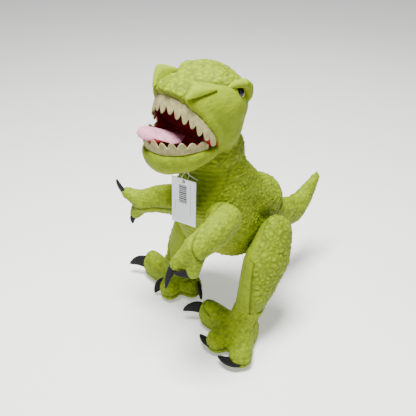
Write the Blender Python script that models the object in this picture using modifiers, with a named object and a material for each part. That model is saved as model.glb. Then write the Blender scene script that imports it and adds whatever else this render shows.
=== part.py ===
"""Stuffed toy dinosaur: a standing plush T-rex with an open mouth, built as fabric panels over fibre stuffing.

Run with: blender --background --python part.py
Metres, +Z up. The dinosaur faces -Y and its left side is +X. The origin is on the floor, under the middle
of its bounding box. Every soft piece starts as a stuffed form: ellipsoids strung along a limb, fused by a
voxel Remesh. The skin is the outer layer of that form, cut into the panels that are sewn together, and the
stuffing is what lies inside the skin.
"""

import math

import bmesh
import bpy
from mathutils import Matrix, Vector

MM = 0.001

# Driving dimensions, in millimetres.
SKIN = 1.6  # plush fabric
FELT = 1.8  # teeth
SEAM_GAP = 0.4  # between pieces that touch
SWEEP_GAP = 3.2  # swelling of a limb that is swept through its neighbour
SWEEP_OVERRUN = 4  # degrees past each limit that its sweep goes
CORE_INSET = 5.0  # how far the stuffing of a trimmed form lies inside its outside
TAG_WIDTH, TAG_LENGTH, TAG_THICKNESS = 38.0, 68.0, 0.8

# Everything is measured from a working origin under the neck; this brings the box's middle to x = y = 0.
ORIGIN_SHIFT = Vector((40.3, -72.9, 0.0))

# Joint pivots, in millimetres from the working origin.
NECK_PIVOT = Vector((0, 10, 306))
JAW_PIVOT = Vector((0, -36, 343))
TONGUE_PIVOT = Vector((0, -54, 349))
SHOULDER = {"left": Vector((62, -28, 234)), "right": Vector((-54, -20, 216))}
HIP = {"left": Vector((70, 68, 164)), "right": Vector((-68, 64, 164))}
ANKLE = {"left": Vector((67, 14, 52)), "right": Vector((-108, 34, 52))}
TAIL_PIVOT = Vector((0, 124, 158))
TAG_PIVOT = Vector((12, -57, 285))

X_AXIS = Vector((1, 0, 0))
Z_AXIS = Vector((0, 0, 1))
ARM_AXIS = {"left": X_AXIS, "right": Vector((0.46, -0.89, 0)).normalized()}
ARM_RANGE = (-20, 20)
LEG_RANGE = (-15, 15)
FOOT_RANGE = (-12, 12)
TAIL_RANGE = (-18, 18)
JAW_RANGE = (-14, 3)
NECK_BALL = 43.0
COLLAR_LINE, NAPE_LINE = 284.0, 305.0  # where the torso ends and the head begins
HUGE = 400.0  # reaches past every form

LIME = (0.42, 0.52, 0.05, 1.0)
RED = (0.30, 0.01, 0.02, 1.0)
CREAM = (0.66, 0.62, 0.48, 1.0)
PINK = (0.72, 0.50, 0.53, 1.0)
BLACK = (0.01, 0.012, 0.014, 1.0)
WHITE = (0.85, 0.86, 0.90, 1.0)
FIBRE = (0.90, 0.90, 0.88, 1.0)

for old in list(bpy.data.objects):
    bpy.data.objects.remove(old, do_unlink=True)

parts = bpy.data.collections.new("stuffed_dinosaur")
guides = bpy.data.collections.new("cutters")
bpy.context.scene.collection.children.link(parts)
bpy.context.scene.collection.children.link(guides)


# ---------------------------------------------------------------- helpers


def material(name, colour, roughness):
    """A plain Principled material, made once per name."""
    made = bpy.data.materials.get(name)
    if made is None:
        made = bpy.data.materials.new(name)
        made.use_nodes = True
        shader = made.node_tree.nodes["Principled BSDF"]
        shader.inputs["Base Color"].default_value = colour
        shader.inputs["Roughness"].default_value = roughness
        shader.inputs["Metallic"].default_value = 0.0
    return made


def new_object(name, mesh):
    """A guide: it is only shown as a wire until finish() makes it a part."""
    made = bpy.data.objects.new(name, mesh)
    guides.objects.link(made)
    made.hide_render = True
    made.display_type = "WIRE"
    return made


def object_from_bmesh(name, bm):
    bmesh.ops.recalc_face_normals(bm, faces=bm.faces)
    mesh = bpy.data.meshes.new(name)
    bm.to_mesh(mesh)
    bm.free()
    return new_object(name, mesh)


def bake(obj):
    """Replaces the object's mesh with what its modifiers make of it."""
    graph = bpy.context.evaluated_depsgraph_get()
    graph.update()
    mesh = bpy.data.meshes.new_from_object(obj.evaluated_get(graph))
    obj.modifiers.clear()
    obj.data = mesh
    return obj


def copy_of(obj, name, matrix=None):
    """A copy with its own mesh, moved by a matrix if one is given."""
    mesh = obj.data.copy()
    if matrix is not None:
        mesh.transform(matrix)
    return new_object(name, mesh)


def offset(obj, distance):
    """Moves every vertex outwards along its normal, in millimetres (inwards if negative)."""
    bm = bmesh.new()
    bm.from_mesh(obj.data)
    bm.normal_update()
    moves = [(v, v.normal * distance * MM) for v in bm.verts]
    for vertex, move in moves:
        vertex.co += move
    bm.to_mesh(obj.data)
    bm.free()
    return obj


def boolean(obj, cutter, operation="DIFFERENCE"):
    """Cuts with the exact solver, or with the manifold one where that finds nothing to keep."""
    whole = obj.data
    for solver in ("EXACT", "MANIFOLD"):
        obj.data = whole
        modifier = obj.modifiers.new("cut", "BOOLEAN")
        modifier.operation = operation
        modifier.object = cutter
        modifier.solver = solver
        bake(obj)
        if obj.data.polygons:
            break
    return obj


def keep_largest(obj):
    """Drops the slivers that a cut leaves beside the main piece."""
    bm = bmesh.new()
    bm.from_mesh(obj.data)
    bmesh.ops.remove_doubles(bm, verts=bm.verts, dist=0.00002)
    bmesh.ops.dissolve_degenerate(bm, edges=bm.edges, dist=0.00002)
    unseen = set(bm.faces)
    islands = []
    while unseen:
        stack = [unseen.pop()]
        island = [stack[0]]
        while stack:
            for edge in stack.pop().edges:
                for face in edge.link_faces:
                    if face in unseen:
                        unseen.remove(face)
                        stack.append(face)
                        island.append(face)
        islands.append(island)
    islands.sort(key=lambda faces: -sum(f.calc_area() for f in faces))
    for island in islands[1:]:
        bmesh.ops.delete(bm, geom=island, context="FACES")
    loose = [v for v in bm.verts if not v.link_faces]
    bmesh.ops.delete(bm, geom=loose, context="VERTS")
    bm.to_mesh(obj.data)
    bm.free()
    return obj


def finish(obj, name, surface, pivot=Vector((0, 0, 0))):
    """Names a finished sub-part, gives it its material and puts its origin on its joint."""
    keep_largest(obj)
    obj.data.transform(Matrix.Translation(-pivot * MM))
    obj.location = (pivot + ORIGIN_SHIFT) * MM
    obj.name = name
    obj.data.name = name
    obj.data.materials.clear()
    obj.data.materials.append(material(*surface))
    guides.objects.unlink(obj)
    parts.objects.link(obj)
    obj.hide_render = False
    obj.display_type = "TEXTURED"
    obj.data.shade_smooth()
    obj.data.set_sharp_from_angle(angle=math.radians(40))
    return obj


def box(name, low, high, matrix=Matrix.Identity(4)):
    """A box between two corners in millimetres, then turned by the matrix."""
    low, high = Vector(low) * MM, Vector(high) * MM
    bm = bmesh.new()
    size = Matrix.Diagonal((high - low).to_4d())
    bmesh.ops.create_cube(bm, size=1.0, matrix=matrix @ Matrix.Translation((low + high) / 2) @ size)
    return object_from_bmesh(name, bm)


def ellipsoid(name, centre, radii, segments=24, matrix=Matrix.Identity(4)):
    bm = bmesh.new()
    place = matrix @ Matrix.Translation(Vector(centre) * MM) @ Matrix.Diagonal((*(Vector(radii) * MM), 1.0))
    bmesh.ops.create_uvsphere(bm, u_segments=segments, v_segments=segments // 2, radius=1.0, matrix=place)
    return object_from_bmesh(name, bm)


def turn(pivot, degrees, axis):
    """The matrix that turns about an axis through a pivot."""
    place = Matrix.Translation(pivot * MM)
    return place @ Matrix.Rotation(math.radians(degrees), 4, axis) @ place.inverted()


def remesh(obj, voxel, smoothing, triangles):
    """Fuses a form into one even closed surface and thins it to about the triangles given."""
    fuse = obj.modifiers.new("fuse", "REMESH")
    fuse.mode = "VOXEL"
    fuse.voxel_size = voxel * MM
    smooth = obj.modifiers.new("smooth", "SMOOTH")
    smooth.factor = 0.5
    smooth.iterations = smoothing
    bake(obj)
    thin = obj.modifiers.new("thin", "DECIMATE")
    thin.ratio = triangles / sum(len(p.vertices) - 2 for p in obj.data.polygons)
    thin.use_collapse_triangulate = True
    bake(obj)
    return keep_largest(obj)


def stuffed_form(name, chains, voxel, triangles, inset=0.0, steps=5):
    """Ellipsoids strung between stations, fused into one smooth closed form.

    A station is (x, y, z, half width in X, half length in Y, half height in Z), in millimetres, and
    the inset makes the form that much thinner all round.
    """
    bm = bmesh.new()
    for chain in chains:
        stations = [Vector(s) for s in chain]
        for first, second in zip(stations, stations[1:]):
            for step in range(steps + 1):
                s = first.lerp(second, step / steps) * MM
                radii = [half - inset * MM for half in s[3:]]
                place = Matrix.Translation(s[:3]) @ Matrix.Diagonal((*radii, 1.0))
                bmesh.ops.create_uvsphere(bm, u_segments=16, v_segments=10, radius=1.0, matrix=place)
    return remesh(object_from_bmesh(name, bm), voxel, 4, triangles)


def skin_of(form):
    """The fabric shell of a form."""
    return boolean(copy_of(form, form.name + "_shell"), offset(copy_of(form, form.name + "_hollow"), -SKIN))


def skin_and_stuffing(form):
    """The fabric shell of a form, and the stuffing that fills it."""
    return skin_of(form), offset(copy_of(form, form.name + "_core"), -SKIN - SEAM_GAP)


def cut_copy(obj, name, cutters, operation="DIFFERENCE"):
    made = copy_of(obj, name)
    for cutter in cutters:
        boolean(made, cutter, operation)
    return made


def swept(form, pivot, limits, axis, inset=0.0, step=9.0):
    """The form, a little swollen, at angles from one limit of its joint to the other."""
    low, high = limits[0] - SWEEP_OVERRUN, limits[1] + SWEEP_OVERRUN
    count = math.ceil((high - low) / step)
    swollen = offset(copy_of(form, form.name + "_swollen"), SWEEP_GAP + inset)
    made = []
    for n in range(count + 1):
        angle = low + (high - low) * n / count
        made.append(copy_of(swollen, f"{form.name}_sweep_{n}", turn(pivot, angle, axis)))
    return made


def grown(obj, distance):
    """A copy of a form that is larger all round."""
    return offset(copy_of(obj, obj.name + "_grown"), distance)


def clearance(form):
    """The form, one seam gap larger: what a sewn-on piece is trimmed with."""
    return grown(form, SEAM_GAP)


LIME_PLUSH = ("lime plush", LIME, 0.9)
RED_FELT = ("red felt", RED, 0.95)
CREAM_FELT = ("cream felt", CREAM, 0.95)
PINK_FELT = ("pink felt", PINK, 0.95)
BLACK_FELT = ("black felt", BLACK, 0.95)
WHITE_CARD = ("white card", WHITE, 0.6)
FIBREFILL = ("fibrefill", FIBRE, 1.0)
EYE_PLASTIC = ("black eye plastic", BLACK, 0.1)
CLEAR_PLASTIC = ("white plastic", WHITE, 0.4)


# ---------------------------------------------------------------- stuffed forms


def arm_form(side, upper, wrist, fingers):
    shoulder = SHOULDER[side]
    chains = [[(*shoulder, 20, 22, 23), (*upper, 19, 21, 21), (*wrist, 17, 18, 18)]]
    for finger in fingers:
        chains.append([(*wrist, 13, 13, 13), (*finger, 9, 9, 9)])
    return stuffed_form(f"{side}_arm_form", chains, voxel=4, triangles=200)


arm_forms = {
    "left": arm_form("left", (74, -58, 235), (66, -88, 220), [(50, -108, 198), (71, -98, 190)]),
    "right": arm_form("right", (-76, -26, 210), (-96, -38, 203), [(-117, -53, 214), (-112, -44, 178)]),
}


def leg_form(side, thigh, shin):
    hip, ankle = HIP[side], ANKLE[side]
    return stuffed_form(f"{side}_leg_form", [
        [(*hip, 24, 34, 38), (*thigh, 28, 46, 42), (*shin, 24, 31, 30), (*ankle, 18, 20, 20)],
    ], voxel=6, triangles=210)


leg_forms = {
    "left": leg_form("left", (72, 50, 132), (72, 30, 92)),
    "right": leg_form("right", (-76, 50, 132), (-94, 40, 92)),
}


tail_form = stuffed_form("tail_form", [
    [(*TAIL_PIVOT, 27, 28, 29), (0, 160, 136, 26, 27, 29), (0, 200, 126, 21, 22, 23), (0, 228, 136, 15, 16, 18),
     (0, 250, 154, 10, 11, 13), (0, 264, 168, 6, 6, 8)],
], voxel=5.5, triangles=190)

# ---------------------------------------------------------------- forms trimmed to their neighbours

LIP_SLOPE, LIP_DROP = 59.0, 3.0
JAW_TOP = 340.0

neck_ball = ellipsoid("neck_ball", NECK_PIVOT, [NECK_BALL] * 3, segments=16)
lip_turn = turn(JAW_PIVOT, -LIP_SLOPE, X_AXIS)
palate = ellipsoid("palate", (0, JAW_PIVOT.y - 36, JAW_PIVOT.z + LIP_DROP), (36, 30, 13), matrix=lip_turn)
jaw_dish = ellipsoid("jaw_dish", (0, -66, JAW_TOP + 4), (34, 32, 14))


def slab(name, low_z, high_z, matrix=Matrix.Identity(4)):
    """Everything between two heights."""
    return box(name, (-HUGE, -HUGE, low_z), (HUGE, HUGE, high_z), matrix)


def trimmed(form, cutters, voxel, smoothing, triangles):
    for cutter in cutters:
        boolean(form, cutter)
    return remesh(form, voxel, smoothing, triangles)


def torso_shape(name, inset, triangles):
    """Neck, chest, belly and rump, with hollows where the limbs, the tail and the neck ball turn."""
    form = stuffed_form(name, [
        [(0, 16, 284, 46, 43, 28), (0, 4, 240, 56, 52, 38), (0, 18, 194, 59, 57, 50), (0, 48, 170, 54, 52, 52),
         (0, 78, 168, 48, 54, 50), (0, 114, 168, 40, 42, 44)],
        [(0, 22, 270, 48, 46, 30), (0, 60, 224, 50, 56, 34), (0, 96, 197, 47, 55, 43)],
    ], voxel=8, triangles=1000, inset=inset)
    cutters = [grown(neck_ball, SWEEP_GAP + inset), slab("shoulder_line", COLLAR_LINE - inset, 500)]
    cutters += swept(tail_form, TAIL_PIVOT, TAIL_RANGE, Z_AXIS, inset)
    for side in ("left", "right"):
        cutters += swept(arm_forms[side], SHOULDER[side], ARM_RANGE, ARM_AXIS[side], inset)
        cutters += swept(leg_forms[side], HIP[side], LEG_RANGE, X_AXIS, inset)
    return trimmed(form, cutters, 6, 5, triangles)


def jaw_body(name, inset):
    return stuffed_form(name, [
        [(0, -34, 333, 49, 23, 25), (0, -58, 329, 46, 25, 28), (0, -79, 329, 34, 23, 26)],
    ], voxel=6, triangles=400, inset=inset)


def jaw_shape(name, inset, triangles):
    """The chin, dished on top inside the row of teeth, and clear of the neck as the mouth opens."""
    neck_range = (-JAW_RANGE[1], -JAW_RANGE[0])
    cutters = [slab("jaw_top_cut", JAW_TOP - inset, 500), grown(jaw_dish, inset)]
    cutters += swept(neck_ball, JAW_PIVOT, neck_range, X_AXIS, inset)
    return trimmed(jaw_body(name, inset), cutters, 4, 5, triangles)


def head_shape(name, inset, triangles):
    """Skull, snout and cheeks, cut by the sloping plane of the upper lip."""
    form = stuffed_form(name, [
        [(0, -4, 381, 58, 52, 51), (0, -46, 398, 43, 32, 25)],
        [(0, -4, 381, 57, 52, 51), (0, -4, 350, 53, 42, 40)],
    ], voxel=7, triangles=800, inset=inset)
    lip = JAW_PIVOT.z + LIP_DROP + inset
    cutters = [grown(neck_ball, SWEEP_GAP + inset), slab("nape_line", 100, NAPE_LINE + inset), grown(palate, inset),
               slab("mouth_cut", lip - HUGE, lip, lip_turn)]
    cutters += swept(jaw_body(name + "_jaw", 0.0), JAW_PIVOT, JAW_RANGE, X_AXIS, inset)
    return trimmed(form, cutters, 5, 3, triangles)


TOES = {
    "left": [(100, -32, 17), (54, -34, 18), (6, -2, 23)],
    "right": [(-158, 22, 24), (-90, 0, 19), (-68, 30, 20)],
}


def foot_shape(side, inset, triangles):
    """Three round toes splayed from the arch, flat where the foot stands."""
    x, y, z = ANKLE[side]
    heel = (x - 3, y + 4, 16, 21, 21, 33)
    arch = (x, y - 10, 17, 25, 23, 34)
    chains = [[heel, arch]]
    for toe in TOES[side]:
        middle = Vector(arch[:3]).lerp(Vector(toe), 0.5)
        chains.append([(*arch[:3], 20, 20, 33), (*middle, 19, 19, 25), (*toe, 17, 17, toe[2] + 3)])
    form = stuffed_form(f"{side}_foot_form", chains, voxel=5, triangles=400, inset=inset)
    trimmed(form, swept(leg_forms[side], ANKLE[side], FOOT_RANGE, X_AXIS, inset), 4, 5, triangles)
    return boolean(form, slab("floor", -60, inset))


torso_form, torso_stuffing = torso_shape("torso_form", 0.0, 640), torso_shape("torso_core", CORE_INSET, 400)
head_form, head_stuffing = head_shape("head_form", 0.0, 580), head_shape("head_core", CORE_INSET, 380)
jaw_form, jaw_stuffing = jaw_shape("jaw_form", 0.0, 320), jaw_shape("jaw_core", CORE_INSET, 200)
foot_forms = {side: foot_shape(side, 0.0, 230) for side in ("left", "right")}
foot_cores = {side: foot_shape(side, CORE_INSET, 160) for side in ("left", "right")}

# ---------------------------------------------------------------- torso

BELLY_HALF_WIDTH = 40.0
BELLY_BACK = 14.0


def half_space(name, sign):
    """A box that reaches from half a seam gap short of the middle plane out to one side."""
    edges = sorted((-sign * SEAM_GAP / 2, sign * HUGE))
    return box(name, (edges[0], -HUGE, 0), (edges[1], HUGE, 500))


torso_shell = skin_of(torso_form)
belly = box("belly", (-BELLY_HALF_WIDTH, -HUGE, 0), (BELLY_HALF_WIDTH, BELLY_BACK, 400))
belly_clear = offset(copy_of(belly, "belly_clear"), SEAM_GAP * math.sqrt(3))
left_half, right_half = half_space("left_half", 1), half_space("right_half", -1)

finish(cut_copy(torso_shell, "belly", [belly], "INTERSECT"), "belly_panel", LIME_PLUSH)
back_shell = cut_copy(torso_shell, "back", [belly_clear])
finish(cut_copy(back_shell, "back_left", [right_half]), "back_panel_left", LIME_PLUSH)
finish(cut_copy(back_shell, "back_right", [left_half]), "back_panel_right", LIME_PLUSH)
finish(torso_stuffing, "torso_stuffing", FIBREFILL)

neck_shell, neck_stuffing = skin_and_stuffing(neck_ball)
SLIT_HALF_WIDTH, SLIT_HALF_LENGTH = 0.5, 6.0  # the gap left in the back seam to stuff the neck through
slit_low, slit_high = NECK_PIVOT.z - SLIT_HALF_LENGTH, NECK_PIVOT.z + SLIT_HALF_LENGTH
seam_slit = box("seam_slit", (-SLIT_HALF_WIDTH, 0, slit_low), (SLIT_HALF_WIDTH, HUGE, slit_high))
finish(cut_copy(neck_shell, "neck", [seam_slit]), "neck_panel", LIME_PLUSH, NECK_PIVOT)
finish(neck_stuffing, "neck_stuffing", FIBREFILL, NECK_PIVOT)

# ---------------------------------------------------------------- head

EYE_RADIUS, STEM_RADIUS, STEM_LENGTH = 6.5, 2.0, 12.0
WASHER_RADIUS, WASHER_THICKNESS, WASHER_DEPTH = 7.0, 1.6, 9.0
EYE_PLACE = Vector((52, 3, 401))
CROWN_LINE, SNOUT_LINE, SNOUT_BACK, SNOUT_HALF_WIDTH = 408.0, 380.0, -40.0, 24.0

head_shell = skin_of(head_form)
head_clear = clearance(head_form)


def rod(name, start, end, radius, segments=10):
    """A cylinder between two points."""
    start, end = Vector(start) * MM, Vector(end) * MM
    bm = bmesh.new()
    place = Matrix.Translation((start + end) / 2) @ (end - start).to_track_quat("Z", "Y").to_matrix().to_4x4()
    bmesh.ops.create_cone(bm, cap_ends=True, segments=segments, radius1=radius * MM, radius2=radius * MM,
                          depth=(end - start).length, matrix=place)
    return object_from_bmesh(name, bm)


def safety_eye(side, sign):
    """A domed eye on a stem that passes through the skin, locked by a washer behind it."""
    centre = Vector((sign * EYE_PLACE.x, EYE_PLACE.y, EYE_PLACE.z))
    inward = Vector((-sign, 0.1, -0.12)).normalized()
    eye = ellipsoid(f"{side}_eye", centre, [EYE_RADIUS] * 3, segments=12)
    boolean(eye, rod("stem", centre, centre + inward * STEM_LENGTH, STEM_RADIUS), "UNION")
    washer_at = centre + inward * WASHER_DEPTH
    half = inward * WASHER_THICKNESS / 2
    washer = rod("washer", washer_at - half, washer_at + half, WASHER_RADIUS)
    hole = rod("hole", washer_at - inward * 3, washer_at + inward * 3, STEM_RADIUS + SEAM_GAP)
    grip = inward * SEAM_GAP
    pocket = rod("pocket", washer_at - half - grip, washer_at + half + grip, WASHER_RADIUS + SEAM_GAP)
    eye_clear = ellipsoid(f"{side}_eye_clear", centre, [EYE_RADIUS + SEAM_GAP] * 3, segments=12)
    for target in (head_shell, head_stuffing):
        boolean(target, eye_clear)
        boolean(target, rod("bore", centre, centre + inward * (STEM_LENGTH + 1), STEM_RADIUS + SEAM_GAP))
    boolean(head_stuffing, pocket)
    boolean(washer, hole)
    finish(eye, f"{side}_eye", EYE_PLASTIC, NECK_PIVOT)
    finish(washer, f"{side}_eye_washer", CLEAR_PLASTIC, NECK_PIVOT)
    return eye_clear


eye_clears = {"left": safety_eye("left", 1), "right": safety_eye("right", -1)}

LINING_RIM = 3.0


def crown_cutter(name, gap):
    """The top of the head and the strip down the snout, larger by a gap all round."""
    made = box(name, (-HUGE, -HUGE, CROWN_LINE - gap), (HUGE, HUGE, 500))
    half = SNOUT_HALF_WIDTH + gap
    strip = box(f"{name}_strip", (-half, -HUGE, SNOUT_LINE), (half, SNOUT_BACK + gap, CROWN_LINE + 40))
    return boolean(made, strip, "UNION")


crown, crown_clear = crown_cutter("crown", 0.0), crown_cutter("crown_clear", SEAM_GAP)
lining = offset(copy_of(palate, "lining"), LINING_RIM)
lining_clear = offset(copy_of(palate, "lining_clear"), LINING_RIM + SEAM_GAP)

finish(cut_copy(head_shell, "palate", [lining], "INTERSECT"), "palate_lining", RED_FELT, NECK_PIVOT)
outer_shell = cut_copy(head_shell, "outer", [lining_clear])
finish(cut_copy(outer_shell, "crown", [crown], "INTERSECT"), "crown_panel", LIME_PLUSH, NECK_PIVOT)
cheek_shell = cut_copy(outer_shell, "cheeks", [crown_clear])
finish(cut_copy(cheek_shell, "cheek", [right_half]), "left_cheek_panel", LIME_PLUSH, NECK_PIVOT)
finish(cut_copy(cheek_shell, "cheek", [left_half]), "right_cheek_panel", LIME_PLUSH, NECK_PIVOT)
finish(head_stuffing, "head_stuffing", FIBREFILL, NECK_PIVOT)


def sewn_roll(name, chain, triangles, surface, base_clear, pivot, neighbour=None, voxel=1.8):
    """A small stuffed piece that sits on a larger form, trimmed to its surface and to a neighbour's."""
    made = stuffed_form(name, [chain], voxel, triangles)
    boolean(made, base_clear)
    if neighbour is not None:
        boolean(made, neighbour)
    return finish(made, name, surface, pivot)


for side, sign in (("left", 1), ("right", -1)):
    sewn_roll(f"{side}_brow", [
        (sign * 46, -14, 409, 5, 6, 4), (sign * 55, -2, 412, 6, 7, 5), (sign * 58, 10, 406, 6, 7, 6),
    ], 90, LIME_PLUSH, head_clear, NECK_PIVOT, eye_clears[side])
    sewn_roll(f"{side}_nostril_flap", [
        (sign * 36, -36, 416, 5, 6, 5), (sign * 36, -50, 414, 6, 6, 6), (sign * 37, -62, 407, 3, 3, 3),
    ], 80, LIME_PLUSH, head_clear, NECK_PIVOT)

# ---------------------------------------------------------------- jaw, teeth and tongue

jaw_shell = skin_of(jaw_form)
dish = offset(copy_of(jaw_dish, "dish"), LINING_RIM)
dish_clear = offset(copy_of(jaw_dish, "dish_clear"), LINING_RIM + SEAM_GAP)
finish(cut_copy(jaw_shell, "jaw_lining", [dish], "INTERSECT"), "jaw_lining", RED_FELT, JAW_PIVOT)
finish(cut_copy(jaw_shell, "chin", [dish_clear]), "chin_panel", LIME_PLUSH, JAW_PIVOT)
finish(jaw_stuffing, "jaw_stuffing", FIBREFILL, JAW_PIVOT)


def tooth_band(name, half_width, reach, band, tooth, hang, start, frame, pivot, teeth=16):
    """A U-shaped felt band with pointed teeth along its free edge, lower at the corners of the mouth."""
    columns = teeth * 3
    bm = bmesh.new()
    bmesh.ops.create_grid(bm, x_segments=columns, y_segments=2, size=1.0)
    for vertex in bm.verts:
        along, across = vertex.co.x, (vertex.co.y + 1) / 2
        angle = along * math.pi / 2
        x = half_width * math.copysign(abs(math.sin(angle)) ** 0.9, along)
        forward = reach * max(0.0, math.cos(angle)) ** 0.9
        taper = 1 - 0.6 * abs(along) ** 3
        scallop = abs(math.sin(math.pi * teeth * (along + 1) / 2)) ** 0.7
        drop = band * min(1.0, across * 2) + tooth * scallop * max(0.0, across * 2 - 1)
        base = frame @ (Vector((x, JAW_PIVOT.y - forward, start)) * MM)
        vertex.co = base + hang * drop * taper * MM
    made = object_from_bmesh(name, bm)
    thick = made.modifiers.new("felt", "SOLIDIFY")
    thick.thickness = FELT * MM
    thick.offset = 0.0
    bake(made)
    return finish(made, name, CREAM_FELT, pivot)


UPPER_HANG = Vector((0, -0.25, -0.97)).normalized()
LOWER_HANG = Vector((0, -0.12, 0.99)).normalized()
upright = Matrix.Identity(4)
tooth_band("upper_teeth", 51, 68, 12, 11, UPPER_HANG, JAW_PIVOT.z + 1.6, lip_turn, NECK_PIVOT)
tooth_band("lower_teeth", 43, 62, 9, 8, LOWER_HANG, JAW_TOP + 1.4, upright, JAW_PIVOT)
sewn_roll("tongue", [
    (0, -58, 348, 6, 6, 3), (0, -76, 354, 18, 14, 3.4), (-2, -94, 361, 15, 10, 3.4), (-4, -106, 363, 8, 6, 3),
], 180, PINK_FELT, clearance(jaw_form), TONGUE_PIVOT)

# ---------------------------------------------------------------- limbs and tail


def sewn_limb(form, name, plane_point, panel_names, normal, pivot, core=None):
    """A limb of two panels that meet along a plane through the limb, and the stuffing they hold."""
    shell, stuffing = skin_and_stuffing(form)
    if core is not None:
        stuffing = core
    place = Matrix.Translation(plane_point * MM) @ normal.to_track_quat("Z", "Y").to_matrix().to_4x4()
    for panel_name, low, high in zip(panel_names, (SEAM_GAP / 2, -HUGE), (HUGE, -SEAM_GAP / 2)):
        side_box = box(f"{panel_name}_side", (-HUGE, -HUGE, low), (HUGE, HUGE, high), place)
        finish(cut_copy(shell, panel_name, [side_box], "INTERSECT"), panel_name, LIME_PLUSH, pivot)
    return finish(stuffing, f"{name}_stuffing", FIBREFILL, pivot)


def felt_claw(name, root, tip, bulge, width, form_clear, pivot, thickness=3.0, points=7):
    """A flat crescent of felt from its root to its tip, curved towards the bulge."""
    root, tip, bulge = Vector(root), Vector(tip), Vector(bulge)
    forward = (tip - root).normalized()
    normal = forward.cross(bulge).normalized()
    side = normal.cross(forward)
    length = (tip - root).length
    sag = bulge.dot(side)
    outline = []
    for edge, order in ((width / 2, range(points + 1)), (-width / 2, range(points - 1, -1, -1))):
        for n in order:
            t = n / points
            outline.append((length * t, edge * (1 - t) + 2 * sag * t * (1 - t) + edge * 0.5 * t * (1 - t)))
    curve = bpy.data.curves.new(name, "CURVE")
    curve.dimensions = "2D"
    curve.fill_mode = "BOTH"
    curve.extrude = thickness / 2 * MM
    spline = curve.splines.new("POLY")
    spline.points.add(len(outline) - 1)
    for point, (x, y) in zip(spline.points, outline):
        point.co = (x * MM, y * MM, 0, 1)
    spline.use_cyclic_u = True
    flat = bpy.data.objects.new(name, curve)
    guides.objects.link(flat)
    graph = bpy.context.evaluated_depsgraph_get()
    mesh = bpy.data.meshes.new_from_object(flat.evaluated_get(graph))
    bpy.data.objects.remove(flat, do_unlink=True)
    bm = bmesh.new()
    bm.from_mesh(mesh)
    bmesh.ops.remove_doubles(bm, verts=bm.verts, dist=0.00005)
    axes = Matrix((forward, side, normal)).transposed().to_4x4()
    bmesh.ops.transform(bm, matrix=Matrix.Translation(root * MM) @ axes, verts=bm.verts)
    claw = object_from_bmesh(name, bm)
    boolean(claw, form_clear)
    return finish(claw, name, BLACK_FELT, pivot)


ARM_SEAM_NORMAL = {"left": Vector((0.9, 0.1, 0.42)), "right": Vector((-0.2, -0.3, 0.93))}
HAND_CLAWS = {
    "left": [((49, -113, 195), (46, -122, 172), (-5, 0, 0)), ((70, -103, 186), (54, -118, 184), (0, 0, -5))],
    "right": [((-122, -57, 217), (-130, -62, 236), (-5, 0, 0)), ((-114, -47, 172), (-114, -50, 160), (-4, 0, 0))],
}
for side in ("left", "right"):
    arm_clear = clearance(arm_forms[side])
    pivot = SHOULDER[side]
    names = (f"{side}_arm_outer_panel", f"{side}_arm_inner_panel")
    sewn_limb(arm_forms[side], f"{side}_arm", pivot, names, ARM_SEAM_NORMAL[side], pivot)
    for number, (root, tip, bulge) in enumerate(HAND_CLAWS[side], 1):
        felt_claw(f"{side}_hand_claw_{number}", root, tip, bulge, 9, arm_clear, pivot)

for side, sign in (("left", 1), ("right", -1)):
    names = (f"{side}_leg_outer_panel", f"{side}_leg_inner_panel")
    sewn_limb(leg_forms[side], f"{side}_leg", ANKLE[side].lerp(HIP[side], 0.5), names, Vector((sign, -0.1, 0)),
              HIP[side])

SOLE_LINE = 14.0
FOOT_CLAWS = {
    "left": [((100, -40, 13), (76, -58, 14), (0, -12, 0)), ((52, -42, 17), (26, -50, 16), (0, -12, 0)),
             ((0, -8, 26), (-30, -22, 28), (0, -12, 0))],
    "right": [((-164, 18, 28), (-196, 0, 28), (-6, -12, 0)), ((-96, 0, 20), (-126, -10, 18), (0, -14, 0)),
              ((-60, 28, 24), (-38, 16, 12), (8, -8, 0))],
}
for side in ("left", "right"):
    pivot = ANKLE[side]
    foot_clear = clearance(foot_forms[side])
    names = (f"{side}_foot_top_panel", f"{side}_foot_sole_panel")
    sewn_limb(foot_forms[side], f"{side}_foot", Vector((0, 0, SOLE_LINE)), names, Z_AXIS, pivot,
              foot_cores[side])
    for number, (root, tip, bulge) in enumerate(FOOT_CLAWS[side], 1):
        felt_claw(f"{side}_foot_claw_{number}", root, tip, bulge, 20, foot_clear, pivot, thickness=4.0)

sewn_limb(tail_form, "tail", Vector((0, 0, 0)), ("tail_left_panel", "tail_right_panel"), X_AXIS, TAIL_PIVOT)

# ---------------------------------------------------------------- hang tag

TAG_HOLE_RADIUS, TAG_HEADROOM = 1.9, 4.0
TAG_TURN = turn(TAG_PIVOT, 14, Z_AXIS)
LOOP_RADIUS, LOOP_WIRE, LOOP_SETBACK = 6.5, 0.6, 3.0

tag_low = TAG_PIVOT + Vector((-TAG_WIDTH / 2, -TAG_THICKNESS / 2, TAG_HEADROOM - TAG_LENGTH))
tag_high = TAG_PIVOT + Vector((TAG_WIDTH / 2, TAG_THICKNESS / 2, TAG_HEADROOM))
tag = box("tag", tag_low, tag_high, TAG_TURN)
reach = Vector((0, 4, 0))
boolean(tag, rod("tag_hole", TAG_PIVOT - reach, TAG_PIVOT + reach, TAG_HOLE_RADIUS))
finish(tag, "hang_tag", WHITE_CARD, TAG_PIVOT)

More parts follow.
